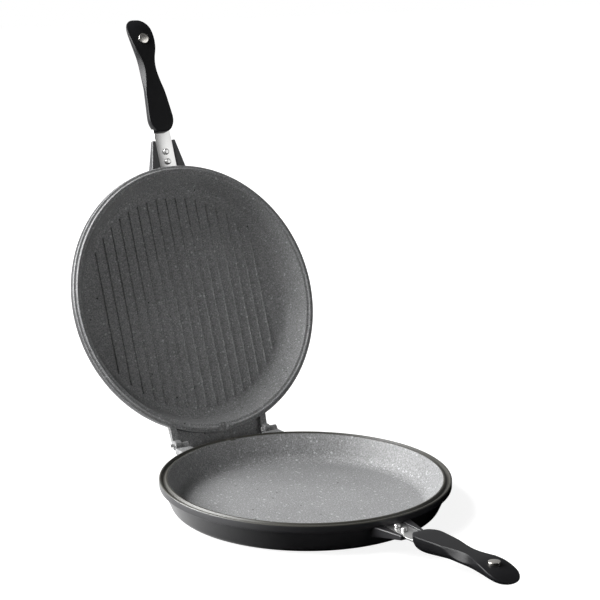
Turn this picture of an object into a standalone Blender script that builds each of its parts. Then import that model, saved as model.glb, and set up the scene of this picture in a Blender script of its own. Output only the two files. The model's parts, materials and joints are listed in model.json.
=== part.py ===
"""Double sided flip pan: two round cast pans hinged rim to rim, each with its own handle.

Metres, +Z up. The origin is the middle of the base pan's foot. The hinge axis runs along X
behind the pans, both handles point to -Y when the pan is shut, and it is drawn open.
Each pan is drawn in its own frame: its rim lies in z = 0, its mouth opens to +Z, its handle
points to -Y and its hinge is at +Y.
"""

import math

import bmesh
import bpy
from mathutils import Matrix, Vector

# Fits between pieces
FACE_GAP = 0.0003
PIN_FIT = 0.0001
SHAFT_FIT = 0.0003
OVERRUN = 0.002
ROOT = 0.004
RIM_ROOT = 0.0014

# Pan shell, the same for both pans
RIM_RADIUS = 0.149
RIM_WIDTH = 0.009
RIM_ROUNDING = 0.0012
FLANGE_HEIGHT = 0.0076
FLANGE_STEP = 0.0036
PAN_HEIGHT = 0.0325
FLOOR_THICKNESS = 0.0045
FLOOR_FILLET = 0.014
FOOT_FILLET = 0.0105
INNER_SLOPE = math.radians(22)
OUTER_SLOPE = math.radians(23)

# Groove in the base rim and the tongue of the lid rim that drops into it
RIM_GAP = 0.0004
SEAL_INSET = 0.0045
GROOVE_WIDTH = 0.005
GROOVE_BOTTOM_WIDTH = 0.0016
GROOVE_DEPTH = 0.0025
TONGUE_WIDTH = 0.0034
TONGUE_TOP_WIDTH = 0.0012
TONGUE_HEIGHT = 0.0018
DAM_WIDTH = 0.012
DAM_DROP = 0.0002
DAM_SIDE_GAP = 0.0008
VENT_WIDTH = 0.006
BASE_VENT_DEPTH = 0.0009
LID_VENT_DEPTH = 0.0018

# Grill ridges on the lid's floor
RIDGE_PITCH = 0.0123
RIDGE_MARGIN = 0.015
RIDGE_WIDTH = 0.003
RIDGE_TOP_WIDTH = 0.0016
RIDGE_HEIGHT = 0.0016
RIDGE_END_SLOPE = 0.0012

# Hinge: two knuckles on the lid, two lugs on the base, a pin in each lug
OPEN_ANGLE = math.radians(111.6)
AXIS_OUT = 0.006
HINGE_HALF_SPAN = 0.0564
BARREL_RADIUS = 0.005
KNUCKLE_LENGTH = 0.0075
LUG_LENGTH = 0.0095
BOSS_RADIUS = 0.0026
PIN_RADIUS = 0.0022
PIN_SEAT_RADIUS = 0.0014
PIN_SEAT = 0.0078
PIN_TIP_ROUNDING = 0.0009
LONG_PIN_PROUD = 0.0058
SHORT_PIN_PROUD = 0.0022
BARREL_CLEARANCE = 0.0008
PAD_SIDE = 0.0018
PAD_DROP = 0.001
PAD_HEIGHT = 0.0064
PAD_SET_BACK = 0.0006

# Ears and web of the lid
EAR_DROP = 0.0006
EAR_THICKNESS = 0.0064
EAR_NECK_THICKNESS = 0.0038
EAR_FLARE = 0.0012
WEB_SET_BACK = 0.0004
WEB_THICKNESS = 0.0028
WEB_REACH = 0.0055
WEB_OVERLAP = 0.002

# Stops under the hinge that the open lid's web rests on
STOP_PLACE = 0.034
STOP_WIDTH = 0.008
STOP_DEPTH = 0.006
STOP_HEIGHT = 0.0034

# Handle bracket, cast with each pan
BRACKET_REACH = 0.031
BRACKET_TIP_WIDTH = 0.028
BRACKET_ROOT_WIDTH = 0.042
BRACKET_TIP_HEIGHT = 0.0046
BRACKET_ROOT_HEIGHT = 0.0096
BRACKET_ROUNDING = 0.0011
RIB_RISE = 0.0012
CHANNEL_SIDE_GAP = 0.0005
BRACKET_FLOOR = 0.0024

# Steel strip between the bracket and the grip
STRIP_WIDTH = 0.021
STRIP_THICKNESS = 0.0018
STRIP_DROP = 0.0074
STRIP_START = 0.0008
HANDLE_TILT = math.radians(2.5)
TANG_WIDTH = 0.0085
TANG_SHOULDER = 0.017
TANG_NECK = 0.006
TANG_BEYOND_SCREW = 0.0085

# Rivets through strip and bracket
RIVET_OUT = 0.0067
RIVET_SPACING = 0.0112
RIVET_RADIUS = 0.0016
RIVET_HEAD_RADIUS = 0.0034
RIVET_HEAD_HEIGHT = 0.0024
RIVET_TAIL_RADIUS = 0.0027
RIVET_TAIL_HEIGHT = 0.0012

# Grip, one moulding for both handles
GRIP_START = 0.0093
GRIP_LENGTH = 0.1339
GRIP_HALF_WIDTH = 0.0153
GRIP_DEPTH = 0.0186

# Magnet and the screw under it
MAGNET_FROM_TIP = 0.0257
MAGNET_RADIUS = 0.00575
MAGNET_THICKNESS = 0.0048
MAGNET_ROUNDING = 0.0005
SCREW_HEAD_RADIUS = 0.003
SCREW_RADIUS = 0.0014
SCREW_LENGTH = 0.0062

# Faceting
PAN_STEPS = 72
ROUND_STEPS = 20
SMALL_STEPS = 16
WIDE_ARC_STEPS = 4
EDGE_STEPS = 2
MERGE = 0.00001
SHARP_ANGLE = math.radians(40)
FLAT_ANGLE = math.radians(1)

# The grip from its mouth to its tip. Shares of GRIP_LENGTH, GRIP_HALF_WIDTH and GRIP_DEPTH:
# (along, face half width, side half width, middle drop, edge drop, scoop drop, side drop, bottom)
GRIP_STATION_SHARES = (
    (0.000, 0.29, 0.31, 0.07, 0.07, 0.14, 0.35, 0.71),
    (0.005, 0.48, 0.50, 0.04, 0.05, 0.12, 0.35, 0.79),
    (0.020, 0.65, 0.67, 0.02, 0.04, 0.10, 0.34, 0.86),
    (0.045, 0.79, 0.81, 0.01, 0.03, 0.09, 0.32, 0.93),
    (0.075, 0.92, 0.94, 0.01, 0.02, 0.07, 0.30, 0.97),
    (0.115, 0.97, 0.99, 0.01, 0.02, 0.07, 0.27, 1.00),
    (0.170, 0.92, 0.94, 0.01, 0.02, 0.06, 0.26, 0.98),
    (0.245, 0.86, 0.88, 0.01, 0.02, 0.06, 0.25, 0.91),
    (0.320, 0.79, 0.82, 0.01, 0.02, 0.06, 0.25, 0.85),
    (0.370, 0.72, 0.76, 0.01, 0.02, 0.10, 0.26, 0.81),
    (0.410, 0.63, 0.71, 0.01, 0.02, 0.27, 0.35, 0.79),
    (0.455, 0.56, 0.67, 0.01, 0.02, 0.40, 0.44, 0.77),
    (0.505, 0.48, 0.65, 0.01, 0.02, 0.46, 0.48, 0.76),
    (0.560, 0.45, 0.64, 0.01, 0.02, 0.46, 0.49, 0.75),
    (0.610, 0.50, 0.66, 0.01, 0.02, 0.43, 0.47, 0.75),
    (0.655, 0.60, 0.71, 0.01, 0.03, 0.37, 0.44, 0.76),
    (0.690, 0.72, 0.78, 0.01, 0.04, 0.26, 0.41, 0.77),
    (0.725, 0.81, 0.84, 0.02, 0.05, 0.16, 0.39, 0.79),
    (0.765, 0.88, 0.91, 0.04, 0.09, 0.13, 0.38, 0.80),
    (0.810, 0.94, 0.96, 0.10, 0.15, 0.19, 0.40, 0.82),
    (0.855, 0.97, 1.00, 0.19, 0.25, 0.28, 0.45, 0.83),
    (0.900, 0.97, 0.99, 0.29, 0.35, 0.38, 0.52, 0.84),
    (0.940, 0.88, 0.91, 0.40, 0.46, 0.48, 0.59, 0.84),
    (0.970, 0.71, 0.74, 0.53, 0.56, 0.59, 0.66, 0.81),
    (0.990, 0.48, 0.51, 0.62, 0.64, 0.65, 0.69, 0.79),
    (1.000, 0.23, 0.25, 0.67, 0.67, 0.68, 0.70, 0.74),
)
# How far round the grip's underside each corner of its section stands
UNDERSIDE_TURN_SHARES = (0.36, 0.70)

# What follows from the sizes above
HINGE_Y = RIM_RADIUS + AXIS_OUT
HINGE_Z = RIM_GAP / 2
FLOOR_Z = FLOOR_THICKNESS - PAN_HEIGHT
RIM_INNER_RADIUS = RIM_RADIUS - RIM_WIDTH
WALL_RADIUS = RIM_RADIUS - FLANGE_STEP
SEAL_RADIUS = RIM_RADIUS - SEAL_INSET
FLOOR_CORNER_RADIUS = RIM_INNER_RADIUS + FLOOR_Z * math.tan(INNER_SLOPE)
FOOT_CORNER_RADIUS = WALL_RADIUS - (PAN_HEIGHT - FLANGE_HEIGHT) * math.tan(OUTER_SLOPE)
FLOOR_FILLET_REACH = FLOOR_FILLET * math.tan((math.pi / 2 - INNER_SLOPE) / 2)
FLOOR_FLAT_RADIUS = FLOOR_CORNER_RADIUS - FLOOR_FILLET_REACH
STRIP_BOTTOM_DROP = STRIP_DROP + STRIP_THICKNESS
CHANNEL_DROP = STRIP_BOTTOM_DROP + FACE_GAP
RIB_DROP = STRIP_DROP - RIB_RISE
BRACKET_UNDER_DROP = CHANNEL_DROP + BRACKET_FLOOR
BEND_Y = -(RIM_RADIUS + BRACKET_REACH)
PAIR_LENGTH = KNUCKLE_LENGTH + FACE_GAP + LUG_LENGTH
WEB_DROP = BARREL_RADIUS + WEB_SET_BACK - HINGE_Z
MAGNET_PLACE = GRIP_START + GRIP_LENGTH - MAGNET_FROM_TIP
TANG_LENGTH = MAGNET_PLACE + TANG_BEYOND_SCREW
MAGNET_DROP = RIM_GAP / 2
POCKET_DROP = MAGNET_DROP + MAGNET_THICKNESS + FACE_GAP


# Scene helpers


def clear_scene():
    for item in list(bpy.data.objects):
        bpy.data.objects.remove(item, do_unlink=True)


def new_collection(name):
    collection = bpy.data.collections.new(name)
    bpy.context.scene.collection.children.link(collection)
    return collection


def new_material(name, colour, roughness, metallic):
    material = bpy.data.materials.new(name)
    material.use_nodes = True
    shader = material.node_tree.nodes["Principled BSDF"]
    shader.inputs["Base Color"].default_value = (*colour, 1.0)
    shader.inputs["Roughness"].default_value = roughness
    shader.inputs["Metallic"].default_value = metallic
    material.diffuse_color = (*colour, 1.0)
    return material


class Side:
    """One pan of the pair: its empties and how its handle leans from its own rim plane."""

    def __init__(self, name, rise, parts, cutters):
        self.name = name
        self.rise = rise
        self.parts = parts
        self.cutters = cutters
        self.frame = bpy.data.objects.new(name + "_frame", None)
        parts.objects.link(self.frame)
        self.handle_frame = bpy.data.objects.new(name + "_handle_frame", None)
        parts.objects.link(self.handle_frame)
        self.handle_frame.parent = self.frame
        self.handle_frame.location = (0.0, BEND_Y, 0.0)
        self.handle_frame.rotation_euler = (-rise * HANDLE_TILT, 0.0, 0.0)

    def piece(self, name, mesh, material, parent=None):
        """A visible piece of this pan."""
        item = bpy.data.objects.new(self.name + "_" + name, mesh)
        mesh.materials.append(material)
        self.parts.objects.link(item)
        item.parent = parent or self.frame
        return item

    def helper(self, name, mesh, parent=None):
        """A cutter, or a lump that is joined to a piece."""
        item = bpy.data.objects.new(self.name + "_" + name, mesh)
        self.cutters.objects.link(item)
        item.parent = parent or self.frame
        item.hide_render = True
        item.display_type = "WIRE"
        return item


def combine(target, other, operation):
    modifier = target.modifiers.new(other.name, "BOOLEAN")
    modifier.operation = operation
    modifier.solver = "EXACT"
    modifier.object = other


def join(target, other):
    combine(target, other, "UNION")


def cut(target, other):
    combine(target, other, "DIFFERENCE")


# Shapes


def rounded(corners):
    """Points of an outline whose corners are (r, z, radius, steps); radius 0 keeps the corner."""
    points = []
    for index, (r, z, radius, steps) in enumerate(corners):
        here = Vector((r, z))
        if radius == 0.0:
            points.append(here)
            continue
        to_last = Vector(corners[index - 1][:2]) - here
        to_next = Vector(corners[index + 1][:2]) - here
        half = to_last.angle(to_next) / 2
        reach = min(radius / math.tan(half), to_last.length / 2, to_next.length / 2)
        start = here + to_last.normalized() * reach
        end = here + to_next.normalized() * reach
        middle = here + (to_last.normalized() + to_next.normalized()).normalized() * (
            reach / math.cos(half)
        )
        first = start - middle
        turn = first.angle_signed(end - middle)
        for step in range(steps + 1):
            # angle_signed counts clockwise turns as positive, Matrix.Rotation the other way
            spin = Matrix.Rotation(-turn * step / steps, 2)
            points.append(middle + spin @ first)
    return points


def turned(mesh_name, points):
    """A mesh that holds a profile in the XZ plane, for a Screw modifier."""
    mesh = bpy.data.meshes.new(mesh_name)
    shape = bmesh.new()
    corners = [shape.verts.new((point[0], 0.0, point[1])) for point in points]
    for first, second in zip(corners, corners[1:]):
        shape.edges.new((first, second))
    shape.to_mesh(mesh)
    shape.free()
    return mesh


def spin(item, steps):
    """Turns an object's profile round its own Z axis into a closed solid."""
    screw = item.modifiers.new("Turn", "SCREW")
    screw.axis = "Z"
    screw.angle = math.tau
    screw.steps = steps
    screw.render_steps = steps
    screw.use_merge_vertices = True
    screw.merge_threshold = MERGE
    screw.use_smooth_shade = True
    return item


def cylinder_mesh(name, radius, start, end, steps, axis="Z"):
    """A closed cylinder from start to end along the named axis."""
    mesh = bpy.data.meshes.new(name)
    shape = bmesh.new()
    bmesh.ops.create_cone(
        shape, cap_ends=True, segments=steps, radius1=radius, radius2=radius, depth=end - start
    )
    bmesh.ops.translate(shape, verts=shape.verts, vec=(0.0, 0.0, (start + end) / 2))
    if axis == "X":
        quarter = Matrix.Rotation(math.pi / 2, 3, "Y")
        bmesh.ops.rotate(shape, verts=shape.verts, cent=(0.0, 0.0, 0.0), matrix=quarter)
    shape.to_mesh(mesh)
    shape.free()
    return mesh


def box_mesh(name, low, high):
    """A box between two corners."""
    mesh = bpy.data.meshes.new(name)
    shape = bmesh.new()
    bmesh.ops.create_cube(shape, size=1.0)
    size = Vector(high) - Vector(low)
    bmesh.ops.scale(shape, verts=shape.verts, vec=size)
    bmesh.ops.translate(shape, verts=shape.verts, vec=Vector(low) + size / 2)
    shape.to_mesh(mesh)
    shape.free()
    return mesh


def hull_mesh(name, points):
    """The convex solid round a set of points."""
    mesh = bpy.data.meshes.new(name)
    shape = bmesh.new()
    for point in points:
        shape.verts.new(point)
    hull = bmesh.ops.convex_hull(shape, input=shape.verts)
    inside = [v for v in hull["geom_interior"] if isinstance(v, bmesh.types.BMVert)]
    bmesh.ops.delete(shape, geom=inside, context="VERTS")
    bmesh.ops.dissolve_limit(shape, angle_limit=FLAT_ANGLE, verts=shape.verts, edges=shape.edges)
    bmesh.ops.recalc_face_normals(shape, faces=shape.faces)
    shape.to_mesh(mesh)
    shape.free()
    return mesh


def plate_mesh(name, outline, low, high):
    """A flat outline in the XY plane, given as points, made solid from z = low to z = high."""
    curve = bpy.data.curves.new(name, "CURVE")
    curve.dimensions = "2D"
    curve.fill_mode = "BOTH"
    curve.extrude = (high - low) / 2
    line = curve.splines.new("POLY")
    line.points.add(len(outline) - 1)
    line.use_cyclic_u = True
    for point, (x, y) in zip(line.points, outline):
        point.co = (x, y, 0.0, 1.0)
    drawn = bpy.data.objects.new(name, curve)
    bpy.context.scene.collection.objects.link(drawn)
    graph = bpy.context.evaluated_depsgraph_get()
    mesh = bpy.data.meshes.new_from_object(drawn.evaluated_get(graph))
    bpy.data.objects.remove(drawn)
    shape = bmesh.new()
    shape.from_mesh(mesh)
    bmesh.ops.remove_doubles(shape, verts=shape.verts, dist=MERGE)
    bmesh.ops.recalc_face_normals(shape, faces=shape.faces)
    bmesh.ops.translate(shape, verts=shape.verts, vec=(0.0, 0.0, (low + high) / 2))
    shape.to_mesh(mesh)
    shape.free()
    return mesh


def loft_mesh(name, rings):
    """A solid skinned through rings of points, closed by a face at each end."""
    mesh = bpy.data.meshes.new(name)
    shape = bmesh.new()
    loops = [[shape.verts.new(point) for point in ring] for ring in rings]
    for first, second in zip(loops, loops[1:]):
        for index in range(len(first)):
            after = (index + 1) % len(first)
            shape.faces.new((first[index], first[after], second[after], second[index]))
    shape.faces.new(loops[0])
    shape.faces.new(loops[-1])
    bmesh.ops.recalc_face_normals(shape, faces=shape.faces)
    # a cut needs flat faces, and a skin between unlike rings has none
    bmesh.ops.triangulate(shape, faces=shape.faces)
    shape.to_mesh(mesh)
    shape.free()
    mesh.shade_smooth()
    mesh.set_sharp_from_angle(angle=SHARP_ANGLE)
    return mesh


def rim_y(x, inset=0.0):
    """How far the rim reaches towards the hinge at a place across the pan."""
    return math.sqrt((RIM_RADIUS - inset) ** 2 - x * x)


def circle_points(x, radius, steps):
    """Points of a circle round the hinge axis, at a place along it."""
    angles = [math.tau * step / steps for step in range(steps)]
    return [
        (x, HINGE_Y + radius * math.cos(a), HINGE_Z + radius * math.sin(a)) for a in angles
    ]


def hinge_pairs():
    """For each knuckle and lug pair: where the knuckle and the lug start along X."""
    for middle in (-HINGE_HALF_SPAN, HINGE_HALF_SPAN):
        knuckle = middle - PAIR_LENGTH / 2
        yield knuckle, knuckle + KNUCKLE_LENGTH + FACE_GAP


# Pan shells


def shell_profile(seal):
    """The pan's section from the middle of its floor, over the rim, to the middle of its foot."""
    wide = WIDE_ARC_STEPS
    edge = EDGE_STEPS
    wall_run = math.tan(OUTER_SLOPE)
    return rounded(
        [
            (0.0, FLOOR_Z, 0.0, 0),
            (FLOOR_CORNER_RADIUS, FLOOR_Z, FLOOR_FILLET, wide),
            (RIM_INNER_RADIUS, 0.0, RIM_ROUNDING, edge),
            *[(SEAL_RADIUS + across, up, 0.0, 0) for across, up in seal],
            (RIM_RADIUS, 0.0, RIM_ROUNDING, edge),
            (RIM_RADIUS, -FLANGE_HEIGHT, RIM_ROUNDING, edge),
            (WALL_RADIUS, -FLANGE_HEIGHT - RIM_ROUNDING * wall_run, 0.0, 0),
            (FOOT_CORNER_RADIUS, -PAN_HEIGHT, FOOT_FILLET, wide),
            (0.0, -PAN_HEIGHT, 0.0, 0),
        ]
    )


def groove_points():
    half = GROOVE_WIDTH / 2
    bottom = GROOVE_BOTTOM_WIDTH / 2
    return [(-half, 0.0), (-bottom, -GROOVE_DEPTH), (bottom, -GROOVE_DEPTH), (half, 0.0)]


def tongue_points():
    half = TONGUE_WIDTH / 2
    top = TONGUE_TOP_WIDTH / 2
    return [(-half, 0.0), (-top, TONGUE_HEIGHT), (top, TONGUE_HEIGHT), (half, 0.0)]


def make_shell(side, seal, material):
    points = shell_profile(seal)
    return spin(side.piece("pan", turned(side.name + "_pan", points), material), PAN_STEPS)


# Handle bracket


def add_bracket(side, pan):
    """Casts two ribs with a channel for the strip onto the pan's handle side."""
    inner_y = -(RIM_RADIUS - RIM_WIDTH + ROOT)
    rim_edge_y = -RIM_RADIUS
    tip_half = BRACKET_TIP_WIDTH / 2
    root_half = BRACKET_ROOT_WIDTH / 2
    flare = (root_half - tip_half) / BRACKET_REACH
    deepen = (BRACKET_ROOT_HEIGHT - BRACKET_TIP_HEIGHT) / BRACKET_REACH
    inner_half = root_half + flare * (inner_y - rim_edge_y)
    inner_height = BRACKET_ROOT_HEIGHT + deepen * (inner_y - rim_edge_y)
    corners = []
    for across in (-1, 1):
        for y, half, height in (
            (BEND_Y, tip_half, BRACKET_TIP_HEIGHT),
            (inner_y, inner_half, inner_height),
        ):
            corners.append((across * half, y, -RIB_DROP))
            corners.append((across * half, y, -RIB_DROP - height))
    lump = side.helper("bracket", hull_mesh(side.name + "_bracket", corners))
    bevel = lump.modifiers.new("Cast edges", "BEVEL")
    bevel.width = BRACKET_ROUNDING
    bevel.segments = EDGE_STEPS
    bevel.limit_method = "ANGLE"
    join(pan, lump)
    half = STRIP_WIDTH / 2 + CHANNEL_SIDE_GAP
    start = -(RIM_RADIUS + STRIP_START - FACE_GAP)
    channel = box_mesh(
        side.name + "_channel",
        (-half, BEND_Y - OVERRUN, -CHANNEL_DROP),
        (half, start, -RIB_DROP + OVERRUN),
    )
    cut(pan, side.helper("channel", channel))
    for number, y in enumerate(rivet_places(), 1):
        hole = side.helper("bracket_hole_%d" % number, rivet_hole(side))
        hole.location = (0.0, y, 0.0)
        cut(pan, hole)
        face = side.helper("bracket_spotface_%d" % number, spotface(side))
        face.location = (0.0, y, 0.0)
        cut(pan, face)


def rivet_places():
    return [-(RIM_RADIUS + RIVET_OUT + RIVET_SPACING * step) for step in range(2)]


def rivet_hole(side):
    low = -(BRACKET_UNDER_DROP + OVERRUN)
    name = side.name + "_rivet_hole"
    return cylinder_mesh(name, RIVET_RADIUS + SHAFT_FIT, low, -STRIP_DROP + OVERRUN, SMALL_STEPS)


def spotface(side):
    low = -(RIB_DROP + BRACKET_ROOT_HEIGHT + OVERRUN)
    radius = RIVET_TAIL_RADIUS + SHAFT_FIT
    return cylinder_mesh(side.name + "_spotface", radius, low, -BRACKET_UNDER_DROP, SMALL_STEPS)


# Hinge


def add_lugs(base, pan):
    """Casts a pad onto the base rim for each pair, with the boss that holds the pin."""
    outer_y = HINGE_Y - BARREL_RADIUS - BARREL_CLEARANCE
    for number, (knuckle, lug) in enumerate(hinge_pairs(), 1):
        end = lug + LUG_LENGTH
        pad = []
        for x in (knuckle - PAD_SIDE, end - PAD_SET_BACK):
            for y in (rim_y(x, RIM_ROOT), outer_y):
                pad.append((x, y, -PAD_DROP))
                pad.append((x, y, -PAD_DROP - PAD_HEIGHT))
        join(pan, base.helper("pad_%d" % number, hull_mesh("pad", pad)))
        boss = []
        for x in (lug, end):
            foot_y = outer_y - BARREL_CLEARANCE
            boss.append((x, foot_y, -PAD_DROP - FACE_GAP))
            boss.append((x, foot_y, -PAD_DROP - PAD_HEIGHT + FACE_GAP))
            boss += circle_points(x, BOSS_RADIUS, ROUND_STEPS)
        join(pan, base.helper("boss_%d" % number, hull_mesh("boss", boss)))
        seat = cylinder_mesh(
            "pin_seat",
            PIN_SEAT_RADIUS + PIN_FIT,
            lug - OVERRUN,
            lug + PIN_SEAT,
            SMALL_STEPS,
            "X",
        )
        hole = base.helper("pin_seat_%d" % number, seat)
        hole.location = (0.0, HINGE_Y, HINGE_Z)
        cut(pan, hole)


def opened(y, z):
    """Where a point of the lid, given in the shut pan's frame from the axis, goes when open."""
    turn = Matrix.Rotation(-OPEN_ANGLE, 2)
    return turn @ Vector((y, z))


def add_stops(base, pan):
    """Two blocks under the hinge whose sloping tops carry the end of the open lid's web."""
    web_near = WEB_DROP + HINGE_Z
    web_far = web_near + WEB_THICKNESS
    down = opened(FACE_GAP, 0.0)
    near = opened(WEB_REACH, web_near) + down
    far = opened(WEB_REACH, web_far) + down
    slope = (far - near).normalized()
    front = near - slope * STOP_DEPTH
    for number, middle in enumerate((-STOP_PLACE, STOP_PLACE), 1):
        points = []
        for x in (middle - STOP_WIDTH / 2, middle + STOP_WIDTH / 2):
            for y, z in (front, far):
                points.append((x, HINGE_Y + y, HINGE_Z + z))
                points.append((x, HINGE_Y + y, HINGE_Z + z - STOP_HEIGHT))
            inner = rim_y(x, ROOT)
            points.append((x, inner, HINGE_Z + front.y))
            points.append((x, rim_y(x, FLANGE_STEP + ROOT / 2), -FLANGE_HEIGHT - STOP_HEIGHT))
        join(pan, base.helper("stop_%d" % number, hull_mesh("stop", points)))


def add_knuckles(lid, pan):
    """Casts the two ears with their knuckles, and the web between them, onto the lid's rim."""
    spans = []
    for number, (knuckle, _) in enumerate(hinge_pairs(), 1):
        # the lid's own frame is turned half round, so places along X change sign
        end = -knuckle
        start = end - KNUCKLE_LENGTH
        spans.append((start, end))
        barrel = cylinder_mesh("barrel", BARREL_RADIUS, start, end, ROUND_STEPS, "X")
        placed = lid.helper("barrel_%d" % number, barrel)
        placed.location = (0.0, HINGE_Y, HINGE_Z)
        root_y = rim_y(max(abs(start), abs(end)), ROOT)
        ear = []
        for x in (start, end):
            for y, thickness in ((root_y, EAR_THICKNESS), (HINGE_Y, EAR_NECK_THICKNESS)):
                ear.append((x, y, -EAR_DROP))
                ear.append((x, y, -EAR_DROP - thickness))
        join(pan, lid.helper("ear_%d" % number, hull_mesh("ear", ear)))
        join(pan, placed)
        # the ear widens towards the rim on the side of the lug, clear of it at any angle
        flare = []
        for x, y in (
            (start, HINGE_Y - BARREL_RADIUS - BARREL_CLEARANCE),
            (start - EAR_FLARE, root_y),
            (start + EAR_FLARE, root_y),
        ):
            flare.append((x, y, -EAR_DROP - FACE_GAP))
            flare.append((x, y, -EAR_DROP - EAR_NECK_THICKNESS))
        join(pan, lid.helper("ear_flare_%d" % number, hull_mesh("ear_flare", flare)))
    add_web(lid, pan, spans)
    for number, (start, end) in enumerate(spans, 1):
        bore = cylinder_mesh(
            "bore", PIN_RADIUS + PIN_FIT, start - OVERRUN, end + OVERRUN, ROUND_STEPS, "X"
        )
        hole = lid.helper("bore_%d" % number, bore)
        hole.location = (0.0, HINGE_Y, HINGE_Z)
        cut(pan, hole)


def add_web(lid, pan, spans):
    """The flat web between the two ears, set back so that it clears the lugs."""
    (left_start, left_end), (right_start, right_end) = sorted(spans)
    low_x = left_end - WEB_OVERLAP
    high_x = right_start + WEB_OVERLAP
    radius = RIM_RADIUS - ROOT
    steps = ROUND_STEPS
    first = math.asin(high_x / radius)
    last = math.asin(low_x / radius)
    angles = [first + (last - first) * step / steps for step in range(steps + 1)]
    arc = [(radius * math.sin(a), radius * math.cos(a)) for a in angles]
    outer_y = HINGE_Y + WEB_REACH
    outline = [(low_x, outer_y), (high_x, outer_y), *arc]
    web = plate_mesh("web", outline, -WEB_DROP - WEB_THICKNESS, -WEB_DROP)
    join(pan, lid.helper("web", web))


def add_pins(base, material):
    for name, (knuckle, lug), proud in zip(
        ("long_hinge_pin", "short_hinge_pin"), hinge_pairs(), (LONG_PIN_PROUD, SHORT_PIN_PROUD)
    ):
        # the shoulder stands just clear of the boss's face, inside the gap beside the knuckle
        shoulder = lug - FACE_GAP / 2
        tip = knuckle - proud
        length = shoulder - tip
        seat = lug + PIN_SEAT - FACE_GAP - shoulder
        profile = rounded(
            [
                (0.0, length, 0.0, 0),
                (PIN_RADIUS, length, PIN_TIP_ROUNDING, EDGE_STEPS),
                (PIN_RADIUS, 0.0, 0.0, 0),
                (PIN_SEAT_RADIUS, 0.0, 0.0, 0),
                (PIN_SEAT_RADIUS, -seat, 0.0, 0),
                (0.0, -seat, 0.0, 0),
            ]
        )
        pin = spin(base.piece(name, turned(name, profile), material), ROUND_STEPS)
        pin.location = (shoulder, HINGE_Y, HINGE_Z)
        pin.rotation_euler = (0.0, -math.pi / 2, 0.0)


# Rim and floor details


def cut_vent(side, pan, depth):
    """A steam vent across the rim, at the middle of the hinge side."""
    slot = box_mesh(
        "vent",
        (-VENT_WIDTH / 2, RIM_INNER_RADIUS - OVERRUN, -depth),
        (VENT_WIDTH / 2, RIM_RADIUS + OVERRUN, TONGUE_HEIGHT + OVERRUN),
    )
    cut(pan, side.helper("vent", slot))


def add_dam(base, pan):
    """The short filled stretch of the base's groove, either side of the vent."""
    reach = GROOVE_WIDTH / 2 + RIM_ROUNDING / 2
    dam = box_mesh(
        "dam",
        (-DAM_WIDTH / 2, SEAL_RADIUS - reach, -GROOVE_DEPTH - RIM_ROUNDING),
        (DAM_WIDTH / 2, SEAL_RADIUS + reach, -DAM_DROP),
    )
    join(pan, base.helper("dam", dam))


def cut_tongue(lid, pan):
    """The gap in the lid's tongue over the dam."""
    half = DAM_WIDTH / 2 + DAM_SIDE_GAP
    gap = box_mesh(
        "tongue_gap",
        (-half, SEAL_RADIUS - TONGUE_WIDTH, DAM_DROP / 2),
        (half, SEAL_RADIUS + TONGUE_WIDTH, TONGUE_HEIGHT + OVERRUN),
    )
    cut(pan, lid.helper("tongue_gap", gap))


def add_ridges(lid, pan):
    """Grill ridges along the handle's direction, each as long as the flat floor lets it be."""
    count = int((FLOOR_FLAT_RADIUS - RIDGE_MARGIN) / RIDGE_PITCH)
    shape = bmesh.new()
    for step in range(-count, count + 1):
        x = step * RIDGE_PITCH
        half_length = math.sqrt(FLOOR_FLAT_RADIUS**2 - x * x)
        corners = []
        for across in (-1, 1):
            for along in (-1, 1):
                foot = (x + across * RIDGE_WIDTH / 2, along * half_length)
                top = (
                    x + across * RIDGE_TOP_WIDTH / 2,
                    along * (half_length - RIDGE_END_SLOPE),
                )
                corners.append(shape.verts.new((*foot, FLOOR_Z - FLOOR_THICKNESS / 2)))
                corners.append(shape.verts.new((*foot, FLOOR_Z)))
                corners.append(shape.verts.new((*top, FLOOR_Z + RIDGE_HEIGHT)))
        bmesh.ops.convex_hull(shape, input=corners)
    bmesh.ops.recalc_face_normals(shape, faces=shape.faces)
    mesh = bpy.data.meshes.new("ridges")
    shape.to_mesh(mesh)
    shape.free()
    join(pan, lid.helper("ridges", mesh))


# Handles


def strip_stations(clearance):
    """The strip's half width at places out from the bend line, wide part, shoulder and tang."""
    start = -(RIM_RADIUS + STRIP_START) - BEND_Y + clearance
    wide = STRIP_WIDTH / 2 + clearance
    narrow = TANG_WIDTH / 2 + clearance
    return [
        (start, wide),
        (0.0, wide),
        (-TANG_SHOULDER - clearance, wide),
        (-TANG_SHOULDER - TANG_NECK - clearance, narrow),
        (-TANG_LENGTH - clearance, narrow),
    ]


def strip_mesh(name, stations, bend, drop, thickness):
    """A flat bar through the stations. What lies beyond the bend line turns by the bend angle."""
    rings = []
    for y, half in stations:
        ring = [
            Vector((-half, y, -drop)),
            Vector((half, y, -drop)),
            Vector((half, y, -drop - thickness)),
            Vector((-half, y, -drop - thickness)),
        ]
        if y < 0.0:
            turn = Matrix.Rotation(bend, 3, "X")
            ring = [turn @ point for point in ring]
        elif y == 0.0:
            turn = Matrix.Rotation(bend / 2, 3, "X")
            ring = [turn @ point for point in ring]
        rings.append(ring)
    return loft_mesh(name, rings)


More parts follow.
